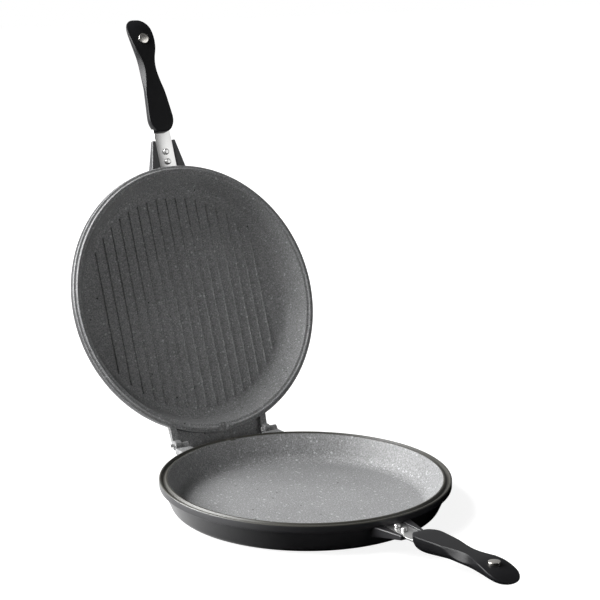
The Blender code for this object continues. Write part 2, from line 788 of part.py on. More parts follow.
def make_strip(side, material):
    name = side.name + "_strip"
    mesh = strip_mesh(
        name, strip_stations(0.0), -side.rise * HANDLE_TILT, STRIP_DROP, STRIP_THICKNESS
    )
    strip = side.piece("strip", mesh, material)
    strip.location = (0.0, BEND_Y, 0.0)
    for number, y in enumerate(rivet_places(), 1):
        hole = side.helper("strip_hole_%d" % number, rivet_hole(side))
        hole.location = (0.0, y, 0.0)
        cut(strip, hole)
    radius = SCREW_RADIUS + SHAFT_FIT
    low = -(STRIP_BOTTOM_DROP + OVERRUN)
    screw_hole = cylinder_mesh(name + "_screw", radius, low, -STRIP_DROP + OVERRUN, SMALL_STEPS)
    hole = side.helper("strip_screw_hole", screw_hole, side.handle_frame)
    hole.location = (0.0, -MAGNET_PLACE, 0.0)
    cut(strip, hole)


def make_rivets(side, material):
    head = -(STRIP_DROP - FACE_GAP)
    tail = -(BRACKET_UNDER_DROP + FACE_GAP)
    profile = rounded(
        [
            (0.0, head + RIVET_HEAD_HEIGHT, 0.0, 0),
            (RIVET_HEAD_RADIUS, head + RIVET_HEAD_HEIGHT, RIVET_HEAD_RADIUS, WIDE_ARC_STEPS),
            (RIVET_HEAD_RADIUS, head, 0.0, 0),
            (RIVET_RADIUS, head, 0.0, 0),
            (RIVET_RADIUS, tail, 0.0, 0),
            (RIVET_TAIL_RADIUS, tail, 0.0, 0),
            (RIVET_TAIL_RADIUS, tail - RIVET_TAIL_HEIGHT, RIVET_TAIL_HEIGHT / 2, EDGE_STEPS),
            (0.0, tail - RIVET_TAIL_HEIGHT, 0.0, 0),
        ]
    )
    for name, y in zip(("inner_rivet", "outer_rivet"), rivet_places()):
        rivet = spin(side.piece(name, turned(name, profile), material), SMALL_STEPS)
        rivet.location = (0.0, y, 0.0)


def grip_ring(shares):
    """One closed section of the grip, seen along the handle."""
    along, face, flank, middle, edge, scoop, low, bottom = shares
    y = -(GRIP_START + along * GRIP_LENGTH)
    half = [
        (face * GRIP_HALF_WIDTH, edge * GRIP_DEPTH),
        (flank * GRIP_HALF_WIDTH, scoop * GRIP_DEPTH),
        (flank * GRIP_HALF_WIDTH, low * GRIP_DEPTH),
    ]
    for share in UNDERSIDE_TURN_SHARES:
        turn = share * math.pi / 2
        out = flank * GRIP_HALF_WIDTH * math.cos(turn)
        down = low + (bottom - low) * math.sin(turn)
        half.append((out, down * GRIP_DEPTH))
    top = [(0.0, middle * GRIP_DEPTH)]
    under = [(0.0, bottom * GRIP_DEPTH)]
    other = [(-x, drop) for x, drop in reversed(half)]
    return [Vector((x, y, -drop)) for x, drop in top + half + under + other]


def make_grip(side, material):
    rings = [grip_ring(shares) for shares in GRIP_STATION_SHARES]
    mesh = loft_mesh(side.name + "_grip", rings)
    grip = side.piece("grip", mesh, material, side.handle_frame)
    stations = [(y, half) for y, half in strip_stations(FACE_GAP) if y <= 0.0]
    slot = strip_mesh(
        side.name + "_slot",
        stations,
        0.0,
        STRIP_DROP - FACE_GAP,
        STRIP_THICKNESS + 2 * FACE_GAP,
    )
    cut(grip, side.helper("tang_slot", slot, side.handle_frame))
    # the screw's head stands FACE_GAP above the strip, so its tip stays as far above this
    pilot_low = -(STRIP_DROP + SCREW_LENGTH)
    for name, radius, low, high, steps in (
        ("pocket", MAGNET_RADIUS + FACE_GAP, -POCKET_DROP, OVERRUN, ROUND_STEPS),
        ("access", SCREW_HEAD_RADIUS + SHAFT_FIT, -STRIP_DROP, -POCKET_DROP + OVERRUN, SMALL_STEPS),
        ("pilot", SCREW_RADIUS + SHAFT_FIT, pilot_low, -STRIP_BOTTOM_DROP, SMALL_STEPS),
    ):
        hole = cylinder_mesh(side.name + "_" + name, radius, low, high, steps)
        cutter = side.helper(name, hole, side.handle_frame)
        cutter.location = (0.0, -MAGNET_PLACE, 0.0)
        cut(grip, cutter)


def make_magnet(side, material):
    top = -MAGNET_DROP
    low = top - MAGNET_THICKNESS
    profile = rounded(
        [
            (0.0, top, 0.0, 0),
            (MAGNET_RADIUS, top, MAGNET_ROUNDING, EDGE_STEPS),
            (MAGNET_RADIUS, low, MAGNET_ROUNDING, 1),
            (0.0, low, 0.0, 0),
        ]
    )
    mesh = turned(side.name + "_magnet", profile)
    magnet = spin(side.piece("magnet", mesh, material, side.handle_frame), ROUND_STEPS)
    magnet.location = (0.0, -MAGNET_PLACE, 0.0)


def make_grip_screw(side, material):
    """The screw that clamps the tang in the grip, reached through the magnet's pocket."""
    head_low = -(STRIP_DROP - FACE_GAP)
    head_top = -(POCKET_DROP + FACE_GAP)
    profile = [
        (0.0, head_top),
        (SCREW_HEAD_RADIUS, head_top),
        (SCREW_HEAD_RADIUS, head_low),
        (SCREW_RADIUS, head_low),
        (SCREW_RADIUS, head_low - SCREW_LENGTH + SCREW_RADIUS),
        (0.0, head_low - SCREW_LENGTH),
    ]
    mesh = turned(side.name + "_grip_screw", profile)
    screw = spin(side.piece("grip_screw", mesh, material, side.handle_frame), SMALL_STEPS)
    screw.location = (0.0, -MAGNET_PLACE, 0.0)


def make_handle(side, steel, nickel, bakelite):
    make_strip(side, steel)
    make_rivets(side, steel)
    make_grip(side, bakelite)
    make_magnet(side, nickel)
    make_grip_screw(side, steel)


# Assembly


def place_base(base):
    base.frame.location = (0.0, 0.0, PAN_HEIGHT)


def place_lid(lid, parts):
    """Hangs the lid on an empty at the hinge axis, turned half round and then tilted open."""
    hinge = bpy.data.objects.new("lid_hinge_axis", None)
    parts.objects.link(hinge)
    hinge.location = (0.0, HINGE_Y, PAN_HEIGHT + HINGE_Z)
    hinge.rotation_euler = (math.pi - OPEN_ANGLE, 0.0, 0.0)
    lid.frame.parent = hinge
    lid.frame.location = (0.0, HINGE_Y, -HINGE_Z)
    lid.frame.rotation_euler = (0.0, 0.0, math.pi)


def main():
    clear_scene()
    parts = new_collection("Double sided flip pan")
    cutters = new_collection("Cutters and joined lumps")
    coating = new_material("stone coating", (0.06, 0.06, 0.065), 0.45, 0.0)
    steel = new_material("satin steel", (0.62, 0.62, 0.60), 0.32, 1.0)
    nickel = new_material("nickel", (0.70, 0.69, 0.66), 0.22, 1.0)
    bakelite = new_material("black bakelite", (0.012, 0.012, 0.013), 0.38, 0.0)
    base = Side("base", 1, parts, cutters)
    lid = Side("lid", -1, parts, cutters)
    place_base(base)
    place_lid(lid, parts)
    base_pan = make_shell(base, groove_points(), coating)
    add_bracket(base, base_pan)
    add_dam(base, base_pan)
    add_stops(base, base_pan)
    add_lugs(base, base_pan)
    cut_vent(base, base_pan, BASE_VENT_DEPTH)
    add_pins(base, steel)
    lid_pan = make_shell(lid, tongue_points(), coating)
    add_ridges(lid, lid_pan)
    add_bracket(lid, lid_pan)
    add_knuckles(lid, lid_pan)
    cut_tongue(lid, lid_pan)
    cut_vent(lid, lid_pan, LID_VENT_DEPTH)
    for side in (base, lid):
        make_handle(side, steel, nickel, bakelite)
    bpy.context.view_layer.update()


main()
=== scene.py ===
import json
import math

import bmesh
import bpy
from bpy.props import FloatProperty, FloatVectorProperty, IntProperty, PointerProperty
from mathutils import Matrix, Vector


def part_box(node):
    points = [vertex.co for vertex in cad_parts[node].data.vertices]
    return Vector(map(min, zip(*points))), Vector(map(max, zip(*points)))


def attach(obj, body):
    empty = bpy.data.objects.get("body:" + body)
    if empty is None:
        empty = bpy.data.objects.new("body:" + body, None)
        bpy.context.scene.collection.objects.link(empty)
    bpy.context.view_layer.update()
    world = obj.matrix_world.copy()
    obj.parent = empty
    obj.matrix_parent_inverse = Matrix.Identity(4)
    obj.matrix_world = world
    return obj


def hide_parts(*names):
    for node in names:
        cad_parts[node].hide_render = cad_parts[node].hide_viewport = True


bl_info = {
    "name": "Double sided flip pan",
    "version": (1, 0, 0),
    "blender": (4, 5, 0),
    "location": "3D View > Sidebar > Flip pan",
    "description": "Models and finishes a double sided flip pan round its packed construction",
    "category": "Object",
}

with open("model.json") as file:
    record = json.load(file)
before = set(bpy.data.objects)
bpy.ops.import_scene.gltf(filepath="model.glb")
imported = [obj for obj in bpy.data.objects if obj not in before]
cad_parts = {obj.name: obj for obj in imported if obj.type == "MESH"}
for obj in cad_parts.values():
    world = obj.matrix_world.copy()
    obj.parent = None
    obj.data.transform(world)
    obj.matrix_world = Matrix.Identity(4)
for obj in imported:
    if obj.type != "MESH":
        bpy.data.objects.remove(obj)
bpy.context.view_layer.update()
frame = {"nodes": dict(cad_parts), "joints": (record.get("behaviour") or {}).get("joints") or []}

MM = 0.001

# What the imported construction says
HINGE_JOINT = frame["joints"][0]
HINGE = Vector(HINGE_JOINT["pos_m"])
OPEN_ANGLE = math.radians(HINGE_JOINT["range_deg"][1])
RIM_GAP = 0.4 * MM
RIM_Z = HINGE.z - RIM_GAP / 2
RIM_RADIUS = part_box("base_pan")[1].x
HINGE_Y = HINGE.y
HINGE_UP = RIM_GAP / 2
BEND_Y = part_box("base_pan")[0].y

# Where each pan's own frame stands: rim in z = 0, mouth up, handle to -Y, hinge at +Y
BASE_FRAME = Matrix.Translation((0.0, 0.0, RIM_Z))
LID_FRAME = (
    Matrix.Translation(HINGE)
    @ Matrix.Rotation(math.pi - OPEN_ANGLE, 4, "X")
    @ Matrix.Translation((0.0, HINGE_Y, -HINGE_UP))
    @ Matrix.Rotation(math.pi, 4, "Z")
)
PAN_FRAMES = {"base": BASE_FRAME, "lid": LID_FRAME}

# How each handle leans from its own rim plane, about the bend line
HANDLE_TILT = math.radians(2.5)
HANDLE_RISE = {"base": 1, "lid": -1}

# Small things that cuts and joins share
OVERRUN = 2.0 * MM
FACE_GAP = 0.3 * MM
ROOT = 4.0 * MM
MERGE = 0.01 * MM
FINE_EDGE = 0.35 * MM
HINGE_CLEARANCE = 0.8 * MM
WEB_GAP = 0.4 * MM
WEB_THICKNESS = 2.8 * MM
WEB_REACH = 5.5 * MM
SHARP_ANGLE = math.radians(34)
CAST_SHARP_ANGLE = math.radians(60)
RIDGE_SHARP_ANGLE = math.radians(50)


def handle_frame(side):
    tilt = Matrix.Rotation(-HANDLE_RISE[side] * HANDLE_TILT, 4, "X")
    return PAN_FRAMES[side] @ Matrix.Translation((0.0, BEND_Y, 0.0)) @ tilt


# Sizes and colours in the panel


def length(name, description, default):
    return FloatProperty(name=name, description=description, default=default, min=0.0, unit="LENGTH")


def colour(name, description, default):
    return FloatVectorProperty(
        name=name, description=description, default=default, size=3, min=0.0, max=1.0, subtype="COLOR"
    )


def share(name, description, default):
    return FloatProperty(
        name=name, description=description, default=default, min=0.0, max=1.0, subtype="FACTOR"
    )


class ShellSizes(bpy.types.PropertyGroup):
    """The pans' turned section, the same for both."""

    height: length("Height", "From the foot to the rim plane", 32.5 * MM)
    rim_width: length("Rim width", "Flat rim, from the wall's inner edge to the outside", 9.0 * MM)
    rim_rounding: length("Rim rounding", "Radius of the rim's edges", 1.2 * MM)
    flange_height: length("Flange height", "Depth of the rim's outer band", 7.6 * MM)
    flange_step: length("Flange step", "How far the band stands out from the wall", 3.6 * MM)
    floor: length("Floor", "Thickness of the floor", 4.5 * MM)
    floor_fillet: length("Inner fillet", "Radius between floor and wall", 14.0 * MM)
    foot_fillet: length("Outer fillet", "Radius between foot and wall", 10.5 * MM)
    seal_inset: length("Seal inset", "From the rim's edge to the middle of the seal", 4.5 * MM)
    steps: IntProperty(name="Steps", description="Facets round the pan", default=180, min=24)


class SealSizes(bpy.types.PropertyGroup):
    """Groove, tongue, dam and vents of the two rims."""

    groove_width: length("Groove width", "Across the base's groove", 5.0 * MM)
    groove_bottom: length("Groove bottom", "Across the groove's flat bottom", 1.6 * MM)
    groove_depth: length("Groove depth", "Depth of the base's groove", 2.5 * MM)
    tongue_width: length("Tongue width", "Across the foot of the lid's tongue", 3.4 * MM)
    tongue_top: length("Tongue top", "Across the top of the tongue", 1.2 * MM)
    tongue_height: length("Tongue height", "How far the tongue stands out", 1.8 * MM)
    dam_width: length("Dam width", "Filled stretch of the groove at the vent", 12.0 * MM)
    vent_width: length("Vent width", "Across the steam vent", 6.0 * MM)
    base_vent_depth: length("Base vent depth", "Depth of the vent in the base's rim", 0.9 * MM)
    lid_vent_depth: length("Lid vent depth", "Depth of the vent in the lid's rim", 1.8 * MM)


class RidgeSizes(bpy.types.PropertyGroup):
    """Grill ridges on the lid's floor."""

    pitch: length("Pitch", "From ridge to ridge", 12.3 * MM)
    margin: length("Margin", "Clear floor outside the last ridge", 15.0 * MM)
    width: length("Width", "Across the foot of a ridge", 3.0 * MM)
    top: length("Top", "Across the top of a ridge", 1.6 * MM)
    height: length("Height", "How far a ridge stands up", 1.6 * MM)
    end_slope: length("End slope", "Run of the slope at each end", 1.2 * MM)


class HingeSizes(bpy.types.PropertyGroup):
    """Knuckles, lugs, web, stops and pins."""

    half_span: length("Half span", "From the middle to each knuckle and lug pair", 56.4 * MM)
    barrel_radius: length("Knuckle radius", "Outside of a knuckle", 5.0 * MM)
    knuckle: length("Knuckle length", "Along the hinge", 7.5 * MM)
    lug: length("Lug length", "Along the hinge", 9.5 * MM)
    boss_radius: length("Boss radius", "Outside of the boss that holds a pin", 2.6 * MM)
    pin_radius: length("Pin radius", "Radius of a pin in its knuckle", 2.2 * MM)
    pin_fit: length("Pin fit", "Running clearance round a pin", 0.1 * MM)
    long_proud: length("Long pin", "How far the long pin stands out of its knuckle", 5.8 * MM)
    short_proud: length("Short pin", "How far the short pin stands out of its knuckle", 2.2 * MM)
    voxel: length("Casting grain", "Voxel size of the remeshed castings", 0.36 * MM)


class HandleSizes(bpy.types.PropertyGroup):
    """Bracket, strip, rivets, grip and magnet."""

    bracket_reach: length("Bracket reach", "From the rim's edge to the bracket's tip", 31.0 * MM)
    bracket_tip: length("Bracket tip", "Across the bracket's tip", 28.0 * MM)
    bracket_root: length("Bracket root", "Across the bracket at the rim", 42.0 * MM)
    strip_width: length("Strip width", "Across the steel strip", 21.0 * MM)
    strip_thickness: length("Strip thickness", "Thickness of the steel strip", 1.8 * MM)
    strip_drop: length("Strip drop", "From the rim plane down to the strip", 7.4 * MM)
    rivet_head: length("Rivet head", "Radius of a rivet's head", 3.4 * MM)
    grip_start: length("Grip start", "From the bend line to the grip's mouth", 9.3 * MM)
    grip_length: length("Grip length", "From the grip's mouth to its tip", 133.9 * MM)
    grip_half_width: length("Grip half width", "Half the grip's widest place", 15.3 * MM)
    grip_depth: length("Grip depth", "From the grip's face to its underside", 18.6 * MM)
    magnet_place: length("Magnet place", "From the bend line to the magnet", 117.5 * MM)
    magnet_radius: length("Magnet radius", "Radius of the magnet", 5.75 * MM)


class Finishes(bpy.types.PropertyGroup):
    """Colours and sheen of the pan's materials."""

    coating: colour("Coating", "Ground colour of the speckled coating", (0.215, 0.217, 0.219))
    coating_light: colour("Light specks", "Colour of the light specks", (0.44, 0.445, 0.455))
    coating_dark: colour("Dark specks", "Colour of the dark specks", (0.015, 0.015, 0.016))
    coating_roughness: share("Coating roughness", "Roughness of the speckled coating", 0.58)
    outside: colour("Outside", "Colour of the dark coat outside", (0.02, 0.02, 0.022))
    rim: colour("Rim", "Colour of the dull machined rim", (0.04, 0.039, 0.033))
    outside_roughness: share("Outside roughness", "Roughness of the dark coat", 0.36)
    steel: colour("Steel", "Colour of strips, rivets and pins", (0.72, 0.72, 0.71))
    steel_roughness: share("Steel roughness", "Roughness of the steel", 0.3)
    nickel: colour("Nickel", "Colour of the magnets", (0.66, 0.64, 0.60))
    bakelite: colour("Grip", "Colour of the moulded grips", (0.011, 0.011, 0.012))
    bakelite_roughness: share("Grip roughness", "Roughness of the grips", 0.36)
    floor: colour("Studio floor", "Colour of the floor", (0.36, 0.36, 0.36))


GROUPS = {
    "shell": ShellSizes,
    "seal": SealSizes,
    "ridge": RidgeSizes,
    "hinge": HingeSizes,
    "handle": HandleSizes,
    "finish": Finishes,
}


# The grip from its mouth to its tip. Shares of the grip's length, half width and depth:
# (along, face half width, side half width, middle drop, edge drop, scoop drop, side drop, bottom)
GRIP_STATION_SHARES = (
    (0.000, 0.29, 0.31, 0.07, 0.07, 0.14, 0.35, 0.71),
    (0.005, 0.48, 0.50, 0.04, 0.05, 0.12, 0.35, 0.79),
    (0.020, 0.65, 0.67, 0.02, 0.04, 0.10, 0.34, 0.86),
    (0.045, 0.79, 0.81, 0.01, 0.03, 0.09, 0.32, 0.93),
    (0.075, 0.92, 0.94, 0.01, 0.02, 0.07, 0.30, 0.97),
    (0.115, 0.97, 0.99, 0.01, 0.02, 0.07, 0.27, 1.00),
    (0.170, 0.92, 0.94, 0.01, 0.02, 0.06, 0.26, 0.98),
    (0.245, 0.86, 0.88, 0.01, 0.02, 0.06, 0.25, 0.91),
    (0.320, 0.79, 0.82, 0.01, 0.02, 0.06, 0.25, 0.85),
    (0.370, 0.72, 0.76, 0.01, 0.02, 0.10, 0.26, 0.81),
    (0.410, 0.63, 0.71, 0.01, 0.02, 0.27, 0.35, 0.79),
    (0.455, 0.56, 0.67, 0.01, 0.02, 0.40, 0.44, 0.77),
    (0.505, 0.48, 0.65, 0.01, 0.02, 0.46, 0.48, 0.76),
    (0.560, 0.45, 0.64, 0.01, 0.02, 0.46, 0.49, 0.75),
    (0.610, 0.50, 0.66, 0.01, 0.02, 0.43, 0.47, 0.75),
    (0.655, 0.60, 0.71, 0.01, 0.03, 0.37, 0.44, 0.76),
    (0.690, 0.72, 0.78, 0.01, 0.04, 0.26, 0.41, 0.77),
    (0.725, 0.81, 0.84, 0.02, 0.05, 0.16, 0.39, 0.79),
    (0.765, 0.88, 0.91, 0.04, 0.09, 0.13, 0.38, 0.80),
    (0.810, 0.94, 0.96, 0.10, 0.15, 0.19, 0.40, 0.82),
    (0.855, 0.97, 1.00, 0.19, 0.25, 0.28, 0.45, 0.83),
    (0.900, 0.97, 0.99, 0.29, 0.35, 0.38, 0.52, 0.84),
    (0.940, 0.88, 0.91, 0.40, 0.46, 0.48, 0.59, 0.84),
    (0.970, 0.71, 0.74, 0.53, 0.56, 0.59, 0.66, 0.81),
    (0.990, 0.48, 0.51, 0.62, 0.64, 0.65, 0.69, 0.79),
    (1.000, 0.23, 0.25, 0.67, 0.67, 0.68, 0.70, 0.74),
)
UNDERSIDE_TURN_SHARES = (0.36, 0.70)

# Which edges along the grip stay crisp, counted from the middle of its face, and how crisp
CREASES = ((1, 0.9), (2, 0.8))


# Shader maths


class Value:
    """A shader socket that takes part in sums: an expression on it adds Math nodes."""

    def __init__(self, maker, socket):
        self.maker = maker
        self.socket = socket

    def math(self, operation, *others, clamp=False):
        settings = {"operation": operation, "use_clamp": clamp}
        inputs = dict(enumerate((self, *others)))
        return self.maker.node("ShaderNodeMath", settings, inputs)["Value"]

    def __add__(self, other):
        return self.math("ADD", other)

    def __sub__(self, other):
        return self.math("SUBTRACT", other)

    def __rsub__(self, other):
        return (self * -1.0) + other

    def __mul__(self, other):
        return self.math("MULTIPLY", other)

    def __truediv__(self, other):
        return self.math("DIVIDE", other)

    __radd__ = __add__
    __rmul__ = __mul__

    def below(self, edge, softness):
        """1 where this is under the edge, 0 above it, with a soft step between."""
        ramp = {"interpolation_type": "SMOOTHSTEP"}
        ends = {"Value": self, 1: edge - softness, 2: edge + softness, 3: 1.0, 4: 0.0}
        return self.maker.node("ShaderNodeMapRange", ramp, ends)["Result"]


class Made:
    """A node that was added, whose outputs are read by name."""

    def __init__(self, maker, item):
        self.maker = maker
        self.item = item

    def __getitem__(self, name):
        return Value(self.maker, self.item.outputs[name])


class Maker:
    """Adds nodes to one material's or world's tree."""

    def __init__(self, tree):
        self.tree = tree

    def node(self, kind, settings=None, inputs=None):
        item = self.tree.nodes.new(kind)
        for name, value in (settings or {}).items():
            setattr(item, name, value)
        for name, value in (inputs or {}).items():
            if isinstance(value, Value):
                self.tree.links.new(value.socket, item.inputs[name])
            else:
                item.inputs[name].default_value = value
        return Made(self, item)

    def mix(self, factor, first, second):
        """A colour between two colours."""
        settings = {"data_type": "RGBA"}
        made = self.node("ShaderNodeMix", settings, {0: factor, 6: rgba(first), 7: rgba(second)})
        return Value(self, made.item.outputs[2])

    def place(self):
        return self.node("ShaderNodeTexCoord")["Object"]

    def cells(self, place, cell):
        """Voronoi cells of a real size: the distance to a cell's middle in metres, and its lot."""
        made = self.node("ShaderNodeTexVoronoi", {}, {"Vector": place, "Scale": 1.0 / cell})
        lot = self.node("ShaderNodeSeparateColor", {}, {"Color": made["Color"]})["Red"]
        return made["Distance"] * cell, lot

    def noise(self, place, size, detail=2.0, roughness=0.5):
        inputs = {"Vector": place, "Scale": 1.0 / size, "Detail": detail, "Roughness": roughness}
        return self.node("ShaderNodeTexNoise", {}, inputs)["Fac"]

    def bump(self, height, distance):
        inputs = {"Height": height, "Distance": distance, "Strength": 1.0}
        return self.node("ShaderNodeBump", {}, inputs)["Normal"]


def rgba(value):
    return value if isinstance(value, Value) else (*value, 1.0)


def shaded(tint, factor):
    """A colour made darker or lighter."""
    return [part * factor for part in tint]


def new_material(name, **inputs):
    """A material with a Principled shader, its maker and the shader's node."""
    material = bpy.data.materials.new(name)
    material.use_nodes = True
    shader = material.node_tree.nodes["Principled BSDF"]
    for socket, value in inputs.items():
        shader.inputs[socket.replace("_", " ")].default_value = value
    return material, Maker(material.node_tree), shader


def feed(maker, shader, **inputs):
    for socket, value in inputs.items():
        maker.tree.links.new(value.socket, shader.inputs[socket.replace("_", " ")])


# Materials


SPECK_EDGE = 0.12 * MM


def specks(maker, place, cell, radius, chance):
    """A mask of round specks: one in some of the cells, up to the given radius."""
    distance, lot = maker.cells(place, cell)
    size = lot.math("DIVIDE", chance, clamp=True) * -radius + radius
    edge = distance - size
    return edge.below(0.0, SPECK_EDGE) * lot.below(chance, 0.001)


def stone_coating(look):
    """Grey non-stick coating with light and dark specks."""
    material, maker, shader = new_material("speckled_coating", Roughness=look.coating_roughness)
    place = maker.place()
    grain = maker.noise(place, size=1.5 * MM, detail=3.0, roughness=0.65)
    cloud = maker.noise(place, size=34.0 * MM, detail=3.0)
    mottle = (grain - 0.5) * 5.0 + (cloud - 0.5) * 0.6 + 0.5
    ground = maker.mix(mottle, shaded(look.coating, 0.72), shaded(look.coating, 1.28))
    fine = specks(maker, place, cell=1.9 * MM, radius=0.75 * MM, chance=0.75)
    light = specks(maker, place, cell=4.8 * MM, radius=1.2 * MM, chance=0.75)
    dark = specks(maker, place, cell=12.0 * MM, radius=1.2 * MM, chance=0.5)
    tone = maker.mix(fine * 0.65, ground, look.coating_light)
    tone = maker.mix(light * 0.9, tone, look.coating_light)
    tone = maker.mix(dark, tone, look.coating_dark)
    pits = grain * 0.6 + maker.noise(place, size=3.2 * MM, detail=2.0) * 0.8
    feed(
        maker,
        shader,
        Base_Color=tone,
        Roughness=grain * 0.12 + (look.coating_roughness - 0.06),
        Normal=maker.bump(pits, distance=0.025 * MM),
    )
    return material


def outside_coat(look):
    """Dark satin coat on the outside of the pans."""
    material, maker, shader = new_material("outside_coat", Roughness=look.outside_roughness)
    place = maker.place()
    grain = maker.noise(place, size=0.9 * MM, detail=3.0, roughness=0.6)
    cloud = maker.noise(place, size=26.0 * MM, detail=3.0)
    mottle = cloud * 0.6 + grain * 0.4
    facing = maker.node("ShaderNodeLayerWeight", {}, {"Blend": 0.5})["Facing"]
    feed(
        maker,
        shader,
        Base_Color=maker.mix(mottle, shaded(look.outside, 0.8), shaded(look.outside, 1.35)),
        Metallic=(facing - 0.3).math("MULTIPLY", 1.8, clamp=True),
        Roughness=cloud * 0.1 + grain * 0.08 + (look.outside_roughness - 0.09),
        Normal=maker.bump(grain, distance=0.03 * MM),
    )
    return material


def machined_rim(look):
    """Dull machined rim of the base pan."""
    material, maker, shader = new_material("machined_rim", Roughness=0.42, Specular_IOR_Level=0.4)
    place = maker.place()
    grain = maker.noise(place, size=0.7 * MM, detail=3.0, roughness=0.6)
    cloud = maker.noise(place, size=18.0 * MM, detail=3.0)
    mottle = grain * 0.7 + cloud * 0.3
    feed(
        maker,
        shader,
        Base_Color=maker.mix(mottle, shaded(look.rim, 0.7), shaded(look.rim, 1.3)),
        Roughness=grain * 0.1 + 0.37,
        Normal=maker.bump(grain, distance=0.02 * MM),
    )
    return material


def handle_steel(look):
    """Stainless steel with a fine grain."""
    roughness = look.steel_roughness
    material, maker, shader = new_material("handle_steel", Metallic=1.0, Roughness=roughness)
    grain = maker.noise(maker.place(), size=0.35 * MM, detail=3.0, roughness=0.7)
    feed(
        maker,
        shader,
        Base_Color=maker.mix(grain, shaded(look.steel, 0.86), look.steel),
        Roughness=grain * 0.16 + (roughness - 0.08),
        Normal=maker.bump(grain, distance=0.01 * MM),
    )
    return material


def nickel_plate(look):
    """Bright plating with faint wear."""
    material, maker, shader = new_material("nickel_plate", Metallic=1.0, Roughness=0.2)
    wear = maker.noise(maker.place(), size=2.4 * MM, detail=4.0, roughness=0.6)
    tone = maker.mix(wear, shaded(look.nickel, 0.85), look.nickel)
    feed(maker, shader, Base_Color=tone, Roughness=wear * 0.2 + 0.1)
    return material


def moulded_grip(look):
    """Black phenolic moulding, satin, with a faint orange peel."""
    roughness = look.bakelite_roughness
    material, maker, shader = new_material(
        "moulded_grip", Roughness=roughness, Specular_IOR_Level=0.08
    )
    place = maker.place()
    grain = maker.noise(place, size=0.8 * MM, detail=2.0)
    cloud = maker.noise(place, size=14.0 * MM, detail=3.0)
    feed(
        maker,
        shader,
        Base_Color=maker.mix(cloud, shaded(look.bakelite, 0.7), shaded(look.bakelite, 1.4)),
        Roughness=cloud * 0.12 + grain * 0.06 + (roughness - 0.09),
        Normal=maker.bump(grain + cloud * 2.0, distance=0.02 * MM),
    )
    return material


MATERIAL_MAKERS = {
    "speckled_coating": stone_coating,
    "outside_coat": outside_coat,
    "machined_rim": machined_rim,
    "handle_steel": handle_steel,
    "nickel_plate": nickel_plate,
    "moulded_grip": moulded_grip,
}


def finish_of(context, name):
    """The named material, made the first time that it is asked for."""
    found = bpy.data.materials.get(name)
    return found or MATERIAL_MAKERS[name](context.scene.flip_pan_finish)


# Mesh work


def to_mesh(name, shape):
    mesh = bpy.data.meshes.new(name)
    shape.to_mesh(mesh)
    shape.free()
    return mesh


def settle(item):
    """Applies an object's modifiers to its mesh."""
    bpy.context.view_layer.update()
    graph = bpy.context.evaluated_depsgraph_get()
    mesh = bpy.data.meshes.new_from_object(item.evaluated_get(graph))
    item.modifiers.clear()
    item.data = mesh
    return item


def loose_object(name, shape):
    item = bpy.data.objects.new(name, to_mesh(name, shape))
    bpy.context.scene.collection.objects.link(item)
    return item


def carve(item, cutter_shapes, operation="DIFFERENCE", solver="EXACT"):
    """Applies Booleans between an object and a list of bmesh shapes."""
    cutters = []
    for shape in cutter_shapes:
        cutter = loose_object(item.name + "_cutter", shape)
        cutters.append(cutter)
        modifier = item.modifiers.new("Cut", "BOOLEAN")
        modifier.operation = operation
        modifier.solver = solver
        modifier.object = cutter
    settle(item)
    for cutter in cutters:
        bpy.data.objects.remove(cutter)
    return item


def box_shape(low, high):
    shape = bmesh.new()
    bmesh.ops.create_cube(shape, size=1.0)
    size = Vector(high) - Vector(low)
    bmesh.ops.scale(shape, verts=shape.verts, vec=size)
    bmesh.ops.translate(shape, verts=shape.verts, vec=Vector(low) + size / 2)
    return shape


def cylinder_shape(radius, start, end, steps, middle, axis="Z"):
    shape = bmesh.new()
    bmesh.ops.create_cone(
        shape,
        cap_ends=True,
        segments=steps,
        radius1=radius,
        radius2=radius,
        depth=end - start,
    )
    bmesh.ops.translate(shape, verts=shape.verts, vec=(0.0, 0.0, (start + end) / 2))
    if axis == "X":
        turn = Matrix.Rotation(math.pi / 2, 3, "Y")
        bmesh.ops.rotate(shape, verts=shape.verts, cent=(0.0, 0.0, 0.0), matrix=turn)
    bmesh.ops.translate(shape, verts=shape.verts, vec=middle)
    return shape


def add_hull(shape, points):
    """Adds the convex solid round some points."""
    corners = [shape.verts.new(point) for point in points]
    hull = bmesh.ops.convex_hull(shape, input=corners)
    inside = [item for item in hull["geom_interior"] if isinstance(item, bmesh.types.BMVert)]
    bmesh.ops.delete(shape, geom=inside, context="VERTS")


def bevel(shape, parts, offset, segments, affect="EDGES"):
    bmesh.ops.bevel(
        shape,
        geom=parts,
        offset=offset,
        offset_type="OFFSET",
        segments=segments,
        profile=0.5,
        affect=affect,
        material=-1,
    )


def round_corner(shape, corner, radius, segments):
    """Rounds one corner of a flat outline face."""
    first, second = (edge.other_vert(corner).co - corner.co for edge in corner.link_edges)
    reach = radius / math.tan(first.angle(second) / 2)
    bevel(shape, [corner], reach, segments, affect="VERTICES")


